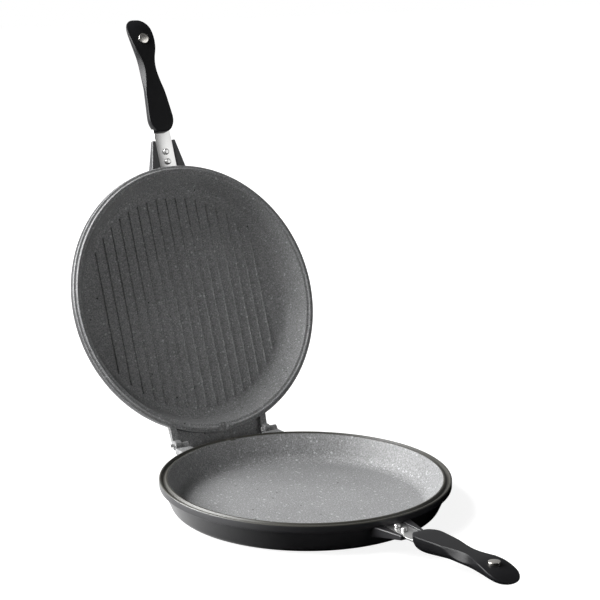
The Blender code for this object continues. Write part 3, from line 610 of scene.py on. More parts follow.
def turned_shape(corners, steps):
    """A solid turned round Z from the corners (r, z, radius, segments) of half its section."""
    shape = bmesh.new()
    points = [shape.verts.new((r, 0.0, z)) for r, z, _, _ in corners]
    shape.faces.new(points)
    for point, (_, _, radius, segments) in zip(points, corners):
        if radius > 0.0:
            round_corner(shape, point, radius, segments)
    bmesh.ops.delete(shape, geom=shape.faces[:], context="FACES_ONLY")
    on_axis = [edge for edge in shape.edges if all(v.co.x < MERGE for v in edge.verts)]
    bmesh.ops.delete(shape, geom=on_axis, context="EDGES")
    bmesh.ops.spin(
        shape,
        geom=shape.verts[:] + shape.edges[:],
        cent=(0.0, 0.0, 0.0),
        axis=(0.0, 0.0, 1.0),
        angle=math.tau,
        steps=steps,
        use_merge=True,
    )
    bmesh.ops.remove_doubles(shape, verts=shape.verts, dist=MERGE)
    bmesh.ops.recalc_face_normals(shape, faces=shape.faces)
    return shape


def finish_piece(context, item, side, place, material, replaced=(), sharp=SHARP_ANGLE):
    """Puts a piece where its pan's frame says, shades it, and lets it ride on its pan."""
    item.data.transform(place)
    item.data.shade_smooth()
    item.data.set_sharp_from_angle(angle=sharp)
    names = (material,) if isinstance(material, str) else material
    if len(names) == 1:
        item.data.materials.clear()
    for name in names:
        item.data.materials.append(finish_of(context, name))
    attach(item, side)
    if replaced:
        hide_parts(*replaced)


def melt(item, voxel, passes):
    """Melts an object's lumps into one skin with soft edges."""
    remesh = item.modifiers.new("Melt", "REMESH")
    remesh.mode = "VOXEL"
    remesh.voxel_size = voxel
    smooth = item.modifiers.new("Soften", "SMOOTH")
    smooth.factor = 0.5
    smooth.iterations = passes
    return settle(item)


# Pan shells


INNER_SLOPE = math.radians(22)
OUTER_SLOPE = math.radians(23)
STEP_EDGE = 0.8 * MM


class Shell:
    """Places in a pan's section that several pieces need."""

    def __init__(self, sizes):
        self.inner = RIM_RADIUS - sizes.rim_width
        self.wall = RIM_RADIUS - sizes.flange_step
        self.seal = RIM_RADIUS - sizes.seal_inset
        self.floor = sizes.floor - sizes.height
        self.floor_corner = self.inner + self.floor * math.tan(INNER_SLOPE)
        wall_height = sizes.height - sizes.flange_height
        self.foot_corner = self.wall - wall_height * math.tan(OUTER_SLOPE)
        reach = sizes.floor_fillet * math.tan((math.pi / 2 - INNER_SLOPE) / 2)
        self.floor_flat = self.floor_corner - reach


def shell_corners(sizes, seal):
    """Half the section, from the middle of the floor over the rim to the middle of the foot."""
    at = Shell(sizes)
    lower = -sizes.flange_height
    return [
        (0.0, at.floor, 0.0, 0),
        (at.floor_corner, at.floor, sizes.floor_fillet, 12),
        (at.inner, 0.0, sizes.rim_rounding, 5),
        *[(at.seal + across, up, radius, 2) for across, up, radius in seal],
        (RIM_RADIUS, 0.0, sizes.rim_rounding, 5),
        (RIM_RADIUS, lower, sizes.rim_rounding, 5),
        (at.wall, lower - sizes.rim_rounding * math.tan(OUTER_SLOPE), STEP_EDGE, 3),
        (at.foot_corner, -sizes.height, sizes.foot_fillet, 10),
        (0.0, -sizes.height, 0.0, 0),
    ]


SHELL_COATS = ("speckled_coating", "outside_coat", "machined_rim")
SPECKLED, DARK, MACHINED = range(len(SHELL_COATS))


def coat_shell(mesh, sizes, rim_coat):
    """Gives a shell's faces their coats: speckled inside, dark outside, and one on the rim."""
    at = Shell(sizes)
    edge_share, top_share = 0.6, 0.2
    for face in mesh.polygons:
        radius = math.hypot(face.center.x, face.center.y)
        down = -face.center.z
        inner = at.inner - down * math.tan(INNER_SLOPE) + sizes.floor / 2
        edge = down > sizes.rim_rounding * edge_share and radius > RIM_RADIUS - sizes.rim_rounding
        wall = down > sizes.flange_height and radius > inner
        under = down > sizes.height - sizes.floor / 2
        top = radius > at.inner + sizes.rim_rounding * top_share
        face.material_index = DARK if edge or wall or under else rim_coat if top else SPECKLED


def y_of_rim(x, inset):
    return math.sqrt((RIM_RADIUS - inset) ** 2 - x * x)


def vent_box(sizes, at, depth, above):
    return box_shape(
        (-sizes.vent_width / 2, at.inner - OVERRUN, -depth),
        (sizes.vent_width / 2, RIM_RADIUS + OVERRUN, above + OVERRUN),
    )


def turned_pan(name, sizes, foot, top, rise):
    """A pan's shell with a seal on its rim: the seal's widths at foot and top, and how far it rises."""
    ends = ((-foot / 2, 0.0), (-top / 2, rise), (top / 2, rise), (foot / 2, 0.0))
    corners = shell_corners(sizes, [(*end, FINE_EDGE) for end in ends])
    return loose_object(name, turned_shape(corners, sizes.steps))


class FLIPPAN_OT_base_shell(bpy.types.Operator):
    """Base pan: smooth inside, groove in the rim, dam and vent at the hinge."""

    bl_idname = "flip_pan.base_shell"
    bl_label = "Base pan"

    def execute(self, context):
        sizes = context.scene.flip_pan_shell
        seal = context.scene.flip_pan_seal
        at = Shell(sizes)
        dam_drop = 0.2 * MM
        width, deep = seal.groove_width, seal.groove_depth
        item = turned_pan("base_pan_shell", sizes, width, seal.groove_bottom, -deep)
        reach = width / 2 + sizes.rim_rounding / 2
        dam = box_shape(
            (-seal.dam_width / 2, at.seal - reach, -deep - sizes.rim_rounding),
            (seal.dam_width / 2, at.seal + reach, -dam_drop),
        )
        carve(item, [dam], "UNION")
        carve(item, [vent_box(seal, at, seal.base_vent_depth, 0.0)])
        coat_shell(item.data, sizes, MACHINED)
        finish_piece(context, item, "base", BASE_FRAME, SHELL_COATS, ("base_pan",))
        return {"FINISHED"}


class FLIPPAN_OT_lid_shell(bpy.types.Operator):
    """Lid pan: tongue on the rim, with the gap over the dam and the vent."""

    bl_idname = "flip_pan.lid_shell"
    bl_label = "Lid pan"

    def execute(self, context):
        sizes = context.scene.flip_pan_shell
        seal = context.scene.flip_pan_seal
        at = Shell(sizes)
        dam_gap, dam_lift = 0.8 * MM, 0.1 * MM
        width, high = seal.tongue_width, seal.tongue_height
        item = turned_pan("lid_pan_shell", sizes, width, seal.tongue_top, high)
        gap_half = seal.dam_width / 2 + dam_gap
        gap = box_shape(
            (-gap_half, at.seal - width, dam_lift),
            (gap_half, at.seal + width, high + OVERRUN),
        )
        carve(item, [gap])
        carve(item, [vent_box(seal, at, seal.lid_vent_depth, high)])
        coat_shell(item.data, sizes, SPECKLED)
        finish_piece(context, item, "lid", LID_FRAME, SHELL_COATS, ("lid_pan",))
        return {"FINISHED"}


class FLIPPAN_OT_ridges(bpy.types.Operator):
    """Grill ridges on the lid's floor, each as long as the flat floor lets it be."""

    bl_idname = "flip_pan.ridges"
    bl_label = "Grill ridges"

    def execute(self, context):
        sizes = context.scene.flip_pan_ridge
        at = Shell(context.scene.flip_pan_shell)
        sunk, rounding = 1.0 * MM, 0.5 * MM
        count = int((at.floor_flat - sizes.margin) / sizes.pitch)
        shape = bmesh.new()
        for step in range(-count, count + 1):
            x = step * sizes.pitch
            half_length = math.sqrt(at.floor_flat**2 - x * x)
            made = bmesh.ops.create_cube(shape, size=1.0)["verts"]
            for corner in made:
                across = math.copysign(1.0, corner.co.x)
                along = math.copysign(1.0, corner.co.y)
                high = corner.co.z > 0.0
                corner.co = (
                    x + across * (sizes.top if high else sizes.width) / 2,
                    along * (half_length - (sizes.end_slope if high else 0.0)),
                    at.floor + (sizes.height if high else -sunk),
                )
            edges = {e for v in made for e in v.link_edges if all(u.co.z > at.floor for u in e.verts)}
            bevel(shape, list(edges), rounding, segments=3)
        bmesh.ops.recalc_face_normals(shape, faces=shape.faces)
        item = loose_object("lid_ridges", shape)
        finish_piece(context, item, "lid", LID_FRAME, "speckled_coating", sharp=RIDGE_SHARP_ANGLE)
        return {"FINISHED"}


# Hinge castings and pins


def knuckle_starts(sizes):
    pair = sizes.knuckle + FACE_GAP + sizes.lug
    return [middle - pair / 2 for middle in (-sizes.half_span, sizes.half_span)]


def axis_circle(x, radius, steps=24):
    angles = [math.tau * step / steps for step in range(steps)]
    return [(x, HINGE_Y + radius * math.cos(a), HINGE_UP + radius * math.sin(a)) for a in angles]


def turned_open(y, z):
    """Where a point of the shut lid, given from the axis, goes when the lid is open."""
    return Matrix.Rotation(-OPEN_ANGLE, 2) @ Vector((y, z))


class FLIPPAN_OT_lugs(bpy.types.Operator):
    """Pads, bosses and stops cast on the base pan's hinge side."""

    bl_idname = "flip_pan.lugs"
    bl_label = "Lugs and stops"

    def execute(self, context):
        sizes = context.scene.flip_pan_hinge
        shell = context.scene.flip_pan_shell
        shape = bmesh.new()
        outer_y = HINGE_Y - sizes.barrel_radius - HINGE_CLEARANCE
        pad_drop, pad_height, pad_side, pad_back = 1.0 * MM, 6.4 * MM, 1.8 * MM, 0.6 * MM
        pad_sink, stop_place = 1.4 * MM, 34.0 * MM
        for knuckle in knuckle_starts(sizes):
            lug = knuckle + sizes.knuckle + FACE_GAP
            end = lug + sizes.lug
            levels = (-pad_drop, -pad_drop - pad_height)
            ends = (knuckle - pad_side, end - pad_back)
            pad = [(x, y, z) for x in ends for y in (y_of_rim(x, pad_sink), outer_y) for z in levels]
            add_hull(shape, pad)
            boss = []
            for x in (lug, end):
                boss.append((x, outer_y - HINGE_CLEARANCE, -pad_drop - pad_height / 2))
                boss.append((x, outer_y - HINGE_CLEARANCE, -pad_drop - pad_height + FACE_GAP))
                boss += axis_circle(x, sizes.boss_radius)
            add_hull(shape, boss)
        for middle in (-stop_place, stop_place):
            add_hull(shape, stop_points(sizes, shell, middle))
        bmesh.ops.recalc_face_normals(shape, faces=shape.faces)
        item = melt(loose_object("base_hinge_casting", shape), sizes.voxel, passes=6)
        finish_piece(context, item, "base", BASE_FRAME, "speckled_coating", sharp=CAST_SHARP_ANGLE)
        return {"FINISHED"}


def stop_points(sizes, shell, middle):
    """A stop block, whose sloping top meets the end of the open lid's web."""
    web_drop = sizes.barrel_radius + WEB_GAP
    width, depth, height = 8.0 * MM, 6.0 * MM, 3.4 * MM
    down = turned_open(FACE_GAP, 0.0)
    near = turned_open(WEB_REACH, web_drop) + down
    far = turned_open(WEB_REACH, web_drop + WEB_THICKNESS) + down
    front = near - (far - near).normalized() * depth
    points = []
    for x in (middle - width / 2, middle + width / 2):
        for y, z in (front, far):
            points.append((x, HINGE_Y + y, HINGE_UP + z))
            points.append((x, HINGE_Y + y, HINGE_UP + z - height))
        points.append((x, y_of_rim(x, ROOT), HINGE_UP + front.y))
        under = y_of_rim(x, shell.flange_step + ROOT / 2)
        points.append((x, under, -shell.flange_height - height))
    return points


class FLIPPAN_OT_ears(bpy.types.Operator):
    """Ears, knuckles and the web between them, cast on the lid pan's rim."""

    bl_idname = "flip_pan.ears"
    bl_label = "Ears and knuckles"

    def execute(self, context):
        sizes = context.scene.flip_pan_hinge
        shape = bmesh.new()
        drop, thick, neck, flare = 0.6 * MM, 6.4 * MM, 3.8 * MM, 1.2 * MM
        spans = []
        for knuckle in knuckle_starts(sizes):
            # the lid's own frame is turned half round, so places along X change sign
            start, end = -knuckle - sizes.knuckle, -knuckle
            spans.append((start, end))
            barrel = [point for x in (start, end) for point in axis_circle(x, sizes.barrel_radius)]
            add_hull(shape, barrel)
            root_y = y_of_rim(max(abs(start), abs(end)), ROOT)
            ear = []
            for x in (start, end):
                for y, thickness in ((root_y, thick), (HINGE_Y, neck)):
                    ear += [(x, y, -drop), (x, y, -drop - thickness)]
            add_hull(shape, ear)
            near = HINGE_Y - sizes.barrel_radius - HINGE_CLEARANCE
            wedge = ((start, near), (start - flare, root_y), (start + flare, root_y))
            levels = (-drop - FACE_GAP, -drop - neck)
            add_hull(shape, [(x, y, z) for x, y in wedge for z in levels])
        self.add_web(shape, sizes, spans)
        bmesh.ops.recalc_face_normals(shape, faces=shape.faces)
        item = melt(loose_object("lid_hinge_casting", shape), sizes.voxel, passes=6)
        bores = []
        middle = (0.0, HINGE_Y, HINGE_UP)
        radius = sizes.pin_radius + sizes.pin_fit
        for start, end in spans:
            ends = (start - OVERRUN, end + OVERRUN)
            bores.append(cylinder_shape(radius, *ends, steps=40, middle=middle, axis="X"))
        carve(item, bores, solver="MANIFOLD")
        finish_piece(context, item, "lid", LID_FRAME, "speckled_coating", sharp=CAST_SHARP_ANGLE)
        return {"FINISHED"}

    def add_web(self, shape, sizes, spans):
        """The flat web, as upright slices between the ears that follow the rim's curve."""
        (_, left), (right, _) = sorted(spans)
        drop = sizes.barrel_radius + WEB_GAP - HINGE_UP
        levels = (-drop - WEB_THICKNESS, -drop)
        outer_y = HINGE_Y + WEB_REACH
        slices = 16
        low, high = left - OVERRUN, right + OVERRUN
        places = [low + (high - low) * step / slices for step in range(slices + 1)]
        for first, second in zip(places, places[1:]):
            points = []
            for x in (first - MERGE, second + MERGE):
                for y in (y_of_rim(x, ROOT), outer_y):
                    points += [(x, y, z) for z in levels]
            add_hull(shape, points)


class FLIPPAN_OT_pins(bpy.types.Operator):
    """The two hinge pins, each with a rounded tip."""

    bl_idname = "flip_pan.pins"
    bl_label = "Hinge pins"

    def execute(self, context):
        sizes = context.scene.flip_pan_hinge
        names = ("base_long_hinge_pin", "base_short_hinge_pin")
        prouds = (sizes.long_proud, sizes.short_proud)
        for name, knuckle, proud in zip(names, knuckle_starts(sizes), prouds):
            shoulder = knuckle + sizes.knuckle + FACE_GAP / 2
            pin_length = sizes.knuckle + FACE_GAP / 2 + proud
            dimple, dimple_depth, rounding = 0.7 * MM, 0.5 * MM, 0.7 * MM
            corners = [
                (0.0, pin_length - dimple_depth, 0.0, 0),
                (dimple, pin_length, 0.0, 0),
                (sizes.pin_radius, pin_length, rounding, 5),
                (sizes.pin_radius, 0.0, 0.0, 0),
                (0.0, 0.0, 0.0, 0),
            ]
            item = loose_object(name + "_fine", turned_shape(corners, steps=40))
            place = (
                BASE_FRAME
                @ Matrix.Translation((shoulder, HINGE_Y, HINGE_UP))
                @ Matrix.Rotation(-math.pi / 2, 4, "Y")
            )
            finish_piece(context, item, "base", place, "handle_steel", (name,))
        return {"FINISHED"}


# Handles


RIVET_INSET = 6.7 * MM
RIVET_PITCH = 11.2 * MM
RIVET_PLACES = [-(RIM_RADIUS + RIVET_INSET + RIVET_PITCH * step) for step in range(2)]


class FLIPPAN_OT_brackets(bpy.types.Operator):
    """The bracket cast on each pan: two ribs with a channel for the strip."""

    bl_idname = "flip_pan.brackets"
    bl_label = "Handle brackets"

    def execute(self, context):
        sizes = context.scene.flip_pan_handle
        shell = context.scene.flip_pan_shell
        rib_lift, side_gap, floor_thickness, tail_room = 1.2 * MM, 0.5 * MM, 2.4 * MM, 3.0 * MM
        rib_drop = sizes.strip_drop - rib_lift
        tip_height, root_height = 4.6 * MM, 9.6 * MM
        inner_y = -(RIM_RADIUS - shell.rim_width + ROOT)
        beyond = inner_y + RIM_RADIUS
        flare = (sizes.bracket_root - sizes.bracket_tip) / 2 / sizes.bracket_reach
        deepen = (root_height - tip_height) / sizes.bracket_reach
        channel_floor = sizes.strip_drop + sizes.strip_thickness + FACE_GAP
        under = channel_floor + floor_thickness
        for side, place in PAN_FRAMES.items():
            shape = bmesh.new()
            points = []
            for across in (-1, 1):
                for y, half, height in (
                    (BEND_Y, sizes.bracket_tip / 2, tip_height),
                    (inner_y, sizes.bracket_root / 2 + flare * beyond, root_height + deepen * beyond),
                ):
                    points += [(across * half, y, -rib_drop), (across * half, y, -rib_drop - height)]
            add_hull(shape, points)
            bmesh.ops.recalc_face_normals(shape, faces=shape.faces)
            item = loose_object(side + "_bracket", shape)
            half = sizes.strip_width / 2 + side_gap
            cutters = [
                box_shape(
                    (-half, BEND_Y - OVERRUN, -channel_floor),
                    (half, -(RIM_RADIUS + side_gap), -rib_drop + OVERRUN),
                )
            ]
            low = -(rib_drop + root_height + OVERRUN)
            for y in RIVET_PLACES:
                middle = (0.0, y, 0.0)
                cutters.append(cylinder_shape(tail_room, low, -under, steps=32, middle=middle))
            melt(carve(item, cutters), context.scene.flip_pan_hinge.voxel, passes=10)
            finish_piece(context, item, side, place, "outside_coat", sharp=CAST_SHARP_ANGLE)
        return {"FINISHED"}


class FLIPPAN_OT_strips(bpy.types.Operator):
    """The steel strip of each handle, bent where it leaves the bracket, with its tang."""

    bl_idname = "flip_pan.strips"
    bl_label = "Handle strips"

    def execute(self, context):
        sizes = context.scene.flip_pan_handle
        half, tang_half, rim_gap = sizes.strip_width / 2, 4.25 * MM, 0.8 * MM
        start = -(RIM_RADIUS + rim_gap) - BEND_Y
        shoulder, neck, tip = -17.0 * MM, -23.0 * MM, -126.0 * MM
        for side in PAN_FRAMES:
            shape = box_shape(
                (-half, tip, -sizes.strip_drop - sizes.strip_thickness),
                (half, start, -sizes.strip_drop),
            )
            for y in (0.0, shoulder, neck):
                bmesh.ops.bisect_plane(
                    shape,
                    geom=shape.verts[:] + shape.edges[:] + shape.faces[:],
                    plane_co=(0.0, y, 0.0),
                    plane_no=(0.0, 1.0, 0.0),
                )
            for corner in shape.verts:
                if corner.co.y < shoulder - MERGE:
                    corner.co.x *= tang_half / half
            edges = [e for e in shape.edges if e.calc_face_angle(0.0) > CAST_SHARP_ANGLE]
            bevel(shape, edges, FINE_EDGE, segments=3)
            beyond = [v for v in shape.verts if v.co.y < -MERGE]
            turn = Matrix.Rotation(-HANDLE_RISE[side] * HANDLE_TILT, 3, "X")
            bmesh.ops.rotate(shape, verts=beyond, cent=(0.0, 0.0, 0.0), matrix=turn)
            name = side + "_strip"
            item = loose_object(name + "_fine", shape)
            place = PAN_FRAMES[side] @ Matrix.Translation((0.0, BEND_Y, 0.0))
            finish_piece(context, item, side, place, "handle_steel", (name,))
        return {"FINISHED"}


class FLIPPAN_OT_rivets(bpy.types.Operator):
    """Two rivets through each strip and bracket."""

    bl_idname = "flip_pan.rivets"
    bl_label = "Rivets"

    def execute(self, context):
        sizes = context.scene.flip_pan_handle
        head = -(sizes.strip_drop - FACE_GAP)
        head_height, dome, foot_edge, shank = 2.4 * MM, 1.5 * MM, 0.2 * MM, 1.6 * MM
        tail_reach, tail_radius, tail_height = 3.0 * MM, 2.7 * MM, 1.2 * MM
        tail = -(sizes.strip_drop + sizes.strip_thickness + tail_reach)
        corners = [
            (0.0, head + head_height, 0.0, 0),
            (sizes.rivet_head, head + head_height, dome, 8),
            (sizes.rivet_head, head, foot_edge, 2),
            (shank, head, 0.0, 0),
            (shank, tail, 0.0, 0),
            (tail_radius, tail, 0.0, 0),
            (tail_radius, tail - tail_height, tail_height / 2, 4),
            (0.0, tail - tail_height, 0.0, 0),
        ]
        for side, place in PAN_FRAMES.items():
            for name, y in zip(("inner_rivet", "outer_rivet"), RIVET_PLACES):
                node = side + "_" + name
                item = loose_object(node + "_fine", turned_shape(corners, steps=48))
                spot = place @ Matrix.Translation((0.0, y, 0.0))
                finish_piece(context, item, side, spot, "handle_steel", (node,))
        return {"FINISHED"}


def grip_section(sizes, shares):
    """One closed section of the grip, across and down from its face, seen along the handle."""
    _, face, flank, middle, edge, scoop, low, bottom = shares
    width, depth = sizes.grip_half_width, sizes.grip_depth
    half = [(face * width, edge), (flank * width, scoop), (flank * width, low)]
    for turn_share in UNDERSIDE_TURN_SHARES:
        turn = turn_share * math.pi / 2
        half.append((flank * width * math.cos(turn), low + (bottom - low) * math.sin(turn)))
    other = [(-x, drop) for x, drop in reversed(half)]
    ring = [(0.0, middle), *half, (0.0, bottom), *other]
    return [(x, drop * depth) for x, drop in ring]


class FLIPPAN_OT_grips(bpy.types.Operator):
    """The moulded grips, skinned through their sections, with the magnet's pocket."""

    bl_idname = "flip_pan.grips"
    bl_label = "Grips"

    def execute(self, context):
        sizes = context.scene.flip_pan_handle
        pocket_fit, pocket_depth, slot_depth, rounds = 0.25 * MM, 5.3 * MM, 12.0 * MM, 3
        pocket_radius = sizes.magnet_radius + pocket_fit
        for side in PAN_FRAMES:
            name = side + "_grip"
            item = loose_object(name + "_fine", self.cage(sizes))
            subdivision = item.modifiers.new("Round", "SUBSURF")
            subdivision.levels = rounds
            subdivision.render_levels = rounds
            settle(item)
            at = (0.0, -sizes.magnet_place, 0.0)
            pocket = cylinder_shape(pocket_radius, -pocket_depth, OVERRUN, steps=64, middle=at)
            half = sizes.strip_width / 2 + FACE_GAP
            slot_low = -sizes.strip_drop - sizes.strip_thickness - FACE_GAP
            slot = box_shape(
                (-half, -sizes.grip_start - slot_depth, slot_low),
                (half, 0.0, -sizes.strip_drop + FACE_GAP),
            )
            carve(item, [pocket, slot])
            finish_piece(context, item, side, handle_frame(side), "moulded_grip", (name,))
        return {"FINISHED"}

    def cage(self, sizes):
        """The grip's control cage: a ring at each station, bridged and closed."""
        shape = bmesh.new()
        crease = shape.edges.layers.float.new("crease_edge")
        rings = []
        for shares in GRIP_STATION_SHARES:
            y = -(sizes.grip_start + shares[0] * sizes.grip_length)
            ring = [shape.verts.new((x, y, -drop)) for x, drop in grip_section(sizes, shares)]
            for first, second in zip(ring, ring[1:] + ring[:1]):
                shape.edges.new((first, second))
            rings.append(ring)
        for first, second in zip(rings, rings[1:]):
            edges = [shape.edges.get((a, b)) for r in (first, second) for a, b in zip(r, r[1:] + r[:1])]
            bmesh.ops.bridge_loops(shape, edges=edges)
        shape.faces.new(rings[0])
        shape.faces.new(rings[-1])
        for index, strength in CREASES:
            for column in (index, len(rings[0]) - index):
                for first, second in zip(rings, rings[1:]):
                    shape.edges.get((first[column], second[column]))[crease] = strength
        bmesh.ops.recalc_face_normals(shape, faces=shape.faces)
        return shape


class FLIPPAN_OT_magnets(bpy.types.Operator):
    """The round latch magnet in each grip's face."""

    bl_idname = "flip_pan.magnets"
    bl_label = "Magnets"

    def execute(self, context):
        sizes = context.scene.flip_pan_handle
        thickness, edge = 4.8 * MM, 0.5 * MM
        top = -HINGE_UP
        low = top - thickness
        corners = [
            (0.0, top, 0.0, 0),
            (sizes.magnet_radius, top, edge, 4),
            (sizes.magnet_radius, low, edge, 2),
            (0.0, low, 0.0, 0),
        ]
        for side in PAN_FRAMES:
            node = side + "_magnet"
            item = loose_object(node + "_fine", turned_shape(corners, steps=64))
            place = handle_frame(side) @ Matrix.Translation((0.0, -sizes.magnet_place, 0.0))
            finish_piece(context, item, side, place, "nickel_plate", (node,))
        return {"FINISHED"}


class FLIPPAN_OT_screws(bpy.types.Operator):
    """The screws under the magnets, kept from the construction."""

    bl_idname = "flip_pan.screws"
    bl_label = "Grip screws"

    def execute(self, context):
        for name in ("base_grip_screw", "lid_grip_screw"):
            item = frame["nodes"][name]
            item.data.materials.clear()
            item.data.materials.append(finish_of(context, "handle_steel"))
        return {"FINISHED"}


# Stage


CAMERA_PLACE = Vector((-955.085, -1406.845, 610.454)) * MM
CAMERA_YAW = math.radians(-33.949)
CAMERA_PITCH = math.radians(-13.084)
CAMERA_ROLL = math.radians(0.341)
CAMERA_REACH = 50.0
PHOTO_WIDTH = 600
FOCAL_PIXELS = 1753.285
SENSOR_WIDTH = 36.0


def camera_matrix():
    """Where the camera stands: it looks along +Y when yaw, pitch and roll are zero."""
    level = Matrix.Rotation(math.pi / 2, 4, "X")
    yaw = Matrix.Rotation(CAMERA_YAW, 4, "Z")
    pitch = Matrix.Rotation(CAMERA_PITCH, 4, "X")
    roll = Matrix.Rotation(CAMERA_ROLL, 4, "Z")
    return Matrix.Translation(CAMERA_PLACE) @ yaw @ pitch @ level @ roll


# Name, place, target, side in metres, watts, and whether it lights surfaces and shows in gloss
LAMPS = (
    ("key", (-1.6, 0.94, 1.5), (0.0, 0.1, 0.1), 1.7, 152.0, True, True),
    ("panel", (1.4, -1.3, 1.15), (0.0, 0.25, 0.3), 1.2, 7.0, False, True),
    ("glint", (-1.75, 1.4, 0.65), (0.0, -0.25, 0.05), 1.4, 130.0, False, True),
    ("fill", (0.8, -1.9, 0.3), (0.0, 0.25, 0.2), 0.8, 7.0, True, False),
)


def add_lamp(name, place, target, side, power, lights, shines):
    data = bpy.data.lights.new(name, "AREA")
    data.size = side
    data.energy = power
    lamp = bpy.data.objects.new(name, data)
    bpy.context.scene.collection.objects.link(lamp)
    look = Vector(target) - Vector(place)
    lamp.matrix_world = Matrix.Translation(place) @ look.to_track_quat("-Z", "Y").to_matrix().to_4x4()
    lamp.visible_diffuse = lights
    lamp.visible_glossy = shines


WHITE = (1.0, 1.0, 1.0)

# Which way the light side lies: so much behind the object, and so much to its left
LIGHT_BEHIND = 0.75
LIGHT_LEFT = 0.65

# How the surroundings shade from the light side to the dark one: middle and half width of the step
TENT_STEP = (0.27, 0.45)
TENT_DARK = (0.12, 0.12, 0.123)
AMBIENT = 0.26

# The floor as the camera sees it, and as gloss shows it near the object and farther off. In gloss the
# floor has a painted glow on the light side and painted shade on the far side, in place of lit floor
# and the object's shadow
FLOOR_LIFT = 0.88
PAINTED_FLOOR_GLOW = 1.9
PAINTED_FLOOR_SHADE = 0.88
NEAR_STEP = (0.9, 0.5)
PAINTED_GLOW_STEP = (0.06, 0.09)
PAINTED_SHADE_STEP = (0.15, 0.45)
FLOOR_HALF = 6.0
FLOOR_DROP = 0.1 * MM


def towards_light(maker, place):
    """How far a place or direction lies towards the light side, left of the object and behind it."""
    parts = maker.node("ShaderNodeSeparateXYZ", {}, {"Vector": place})
    return parts["Y"] * LIGHT_BEHIND - parts["X"] * LIGHT_LEFT


def studio_world():
    """White behind the object and to its left, darker in front and to its right, as in a tent."""
    world = bpy.data.worlds.new("studio")
    bpy.context.scene.world = world
    world.use_nodes = True
    maker = Maker(world.node_tree)
    surface = world.node_tree.nodes["Background"]
    direction = maker.node("ShaderNodeTexCoord")["Generated"]
    dark = towards_light(maker, direction).below(*TENT_STEP)
    tent = maker.mix(dark, WHITE, TENT_DARK)
    path = maker.node("ShaderNodeLightPath")
    shown = maker.mix(path["Is Camera Ray"], tent, WHITE)
    seen = path["Is Camera Ray"].math("MAXIMUM", path["Is Glossy Ray"])
    seen = seen.math("MAXIMUM", path["Is Transmission Ray"])
    maker.tree.links.new(shown.socket, surface.inputs["Color"])
    strength = seen * (1.0 - AMBIENT) + AMBIENT
    maker.tree.links.new(strength.socket, surface.inputs["Strength"])


def floor_material(look):
    """Pale floor that shows white to the camera and still takes the object's shadow. In gloss it shows
    a painted glow on the light side and painted shade on the far side.
    """
    material = bpy.data.materials.new("studio_floor")
    material.use_nodes = True
    maker = Maker(material.node_tree)
    material.node_tree.nodes.remove(material.node_tree.nodes["Principled BSDF"])
    output = material.node_tree.nodes["Material Output"]
    plain = maker.node("ShaderNodeBsdfDiffuse", {}, {"Color": (*look.floor, 1.0)})["BSDF"]
    away = maker.node("ShaderNodeVectorMath", {"operation": "LENGTH"}, {0: maker.place()})["Value"]
    near = away.below(*NEAR_STEP)
    path = maker.node("ShaderNodeLightPath")
    white = {"Color": rgba(WHITE)}
    lift = maker.node("ShaderNodeEmission", {}, {**white, "Strength": near * FLOOR_LIFT + 1.0 - near})
    both = maker.node("ShaderNodeAddShader", {}, {0: plain, 1: lift["Emission"]})["Shader"]
    seen = path["Is Camera Ray"].math("MAXIMUM", path["Is Transmission Ray"])
    mixed = maker.node("ShaderNodeMixShader", {}, {0: seen, 1: plain, 2: both})["Shader"]
    # Painted light seen only in gloss: near the object the floor glows brighter than white on the light
    # side and turns black on the far side, a painted shadow of the object; farther off the far side is
    # painted darker (beyond)
    side = towards_light(maker, maker.place())
    painted_near_glow_and_shade = (1.0 - side.below(*PAINTED_GLOW_STEP)) * PAINTED_FLOOR_GLOW
    beyond = 1.0 - (side / away).below(*PAINTED_SHADE_STEP) * PAINTED_FLOOR_SHADE
    painted_reflection_inputs = {**white, "Strength": near * painted_near_glow_and_shade + (1.0 - near) * beyond}
    painted_reflection = maker.node("ShaderNodeEmission", {}, painted_reflection_inputs)["Emission"]
    surface = maker.node("ShaderNodeMixShader", {}, {0: path["Is Glossy Ray"], 1: mixed, 2: painted_reflection})
    maker.tree.links.new(surface["Shader"].socket, output.inputs["Surface"])
    return material


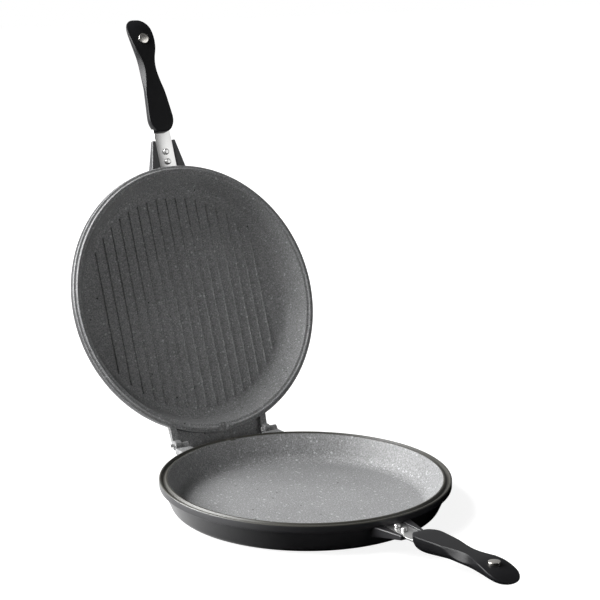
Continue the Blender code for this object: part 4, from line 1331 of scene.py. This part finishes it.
class FLIPPAN_OT_stage(bpy.types.Operator):
    """Camera, lamps, white surroundings and a pale floor."""

    bl_idname = "flip_pan.stage"
    bl_label = "Stage"

    def execute(self, context):
        scene = context.scene
        scene.view_settings.view_transform = "Standard"
        data = bpy.data.cameras.new("photo_camera")
        data.sensor_width = SENSOR_WIDTH
        data.lens = FOCAL_PIXELS * SENSOR_WIDTH / PHOTO_WIDTH
        data.clip_end = CAMERA_REACH
        camera = bpy.data.objects.new("photo_camera", data)
        scene.collection.objects.link(camera)
        camera.matrix_world = camera_matrix()
        scene.camera = camera
        shape = bmesh.new()
        bmesh.ops.create_grid(shape, x_segments=1, y_segments=1, size=FLOOR_HALF)
        bmesh.ops.translate(shape, verts=shape.verts, vec=(0.0, 0.0, -FLOOR_DROP))
        floor = loose_object("studio_floor", shape)
        floor.data.materials.append(floor_material(scene.flip_pan_finish))
        for lamp in LAMPS:
            add_lamp(*lamp)
        studio_world()
        return {"FINISHED"}


# Panel and registration


class FLIPPAN_PT_panel(bpy.types.Panel):
    """The pan's sizes, finishes and the operators that make its pieces."""

    bl_idname = "FLIPPAN_PT_panel"
    bl_label = "Flip pan"
    bl_space_type = "VIEW_3D"
    bl_region_type = "UI"
    bl_category = "Flip pan"

    def draw(self, context):
        layout = self.layout
        for key, group in GROUPS.items():
            box = layout.box()
            box.label(text=key.capitalize())
            sizes = getattr(context.scene, "flip_pan_" + key)
            for name in group.__annotations__:
                box.prop(sizes, name)
        column = layout.column(align=True)
        for operator in OPERATORS:
            column.operator(operator.bl_idname)


OPERATORS = (
    FLIPPAN_OT_base_shell,
    FLIPPAN_OT_lid_shell,
    FLIPPAN_OT_ridges,
    FLIPPAN_OT_lugs,
    FLIPPAN_OT_ears,
    FLIPPAN_OT_pins,
    FLIPPAN_OT_brackets,
    FLIPPAN_OT_strips,
    FLIPPAN_OT_rivets,
    FLIPPAN_OT_grips,
    FLIPPAN_OT_magnets,
    FLIPPAN_OT_screws,
    FLIPPAN_OT_stage,
)
CLASSES = (*GROUPS.values(), *OPERATORS, FLIPPAN_PT_panel)


def register():
    for item in CLASSES:
        bpy.utils.register_class(item)
    for key, group in GROUPS.items():
        setattr(bpy.types.Scene, "flip_pan_" + key, PointerProperty(type=group))


def unregister():
    for key in GROUPS:
        delattr(bpy.types.Scene, "flip_pan_" + key)
    for item in reversed(CLASSES):
        bpy.utils.unregister_class(item)


def main():
    register()
    bpy.ops.flip_pan.base_shell()
    bpy.ops.flip_pan.lid_shell()
    bpy.ops.flip_pan.ridges()
    bpy.ops.flip_pan.lugs()
    bpy.ops.flip_pan.ears()
    bpy.ops.flip_pan.pins()
    bpy.ops.flip_pan.brackets()
    bpy.ops.flip_pan.strips()
    bpy.ops.flip_pan.rivets()
    bpy.ops.flip_pan.grips()
    bpy.ops.flip_pan.magnets()
    bpy.ops.flip_pan.screws()
    bpy.ops.flip_pan.stage()


if __name__ == "__main__":
    main()
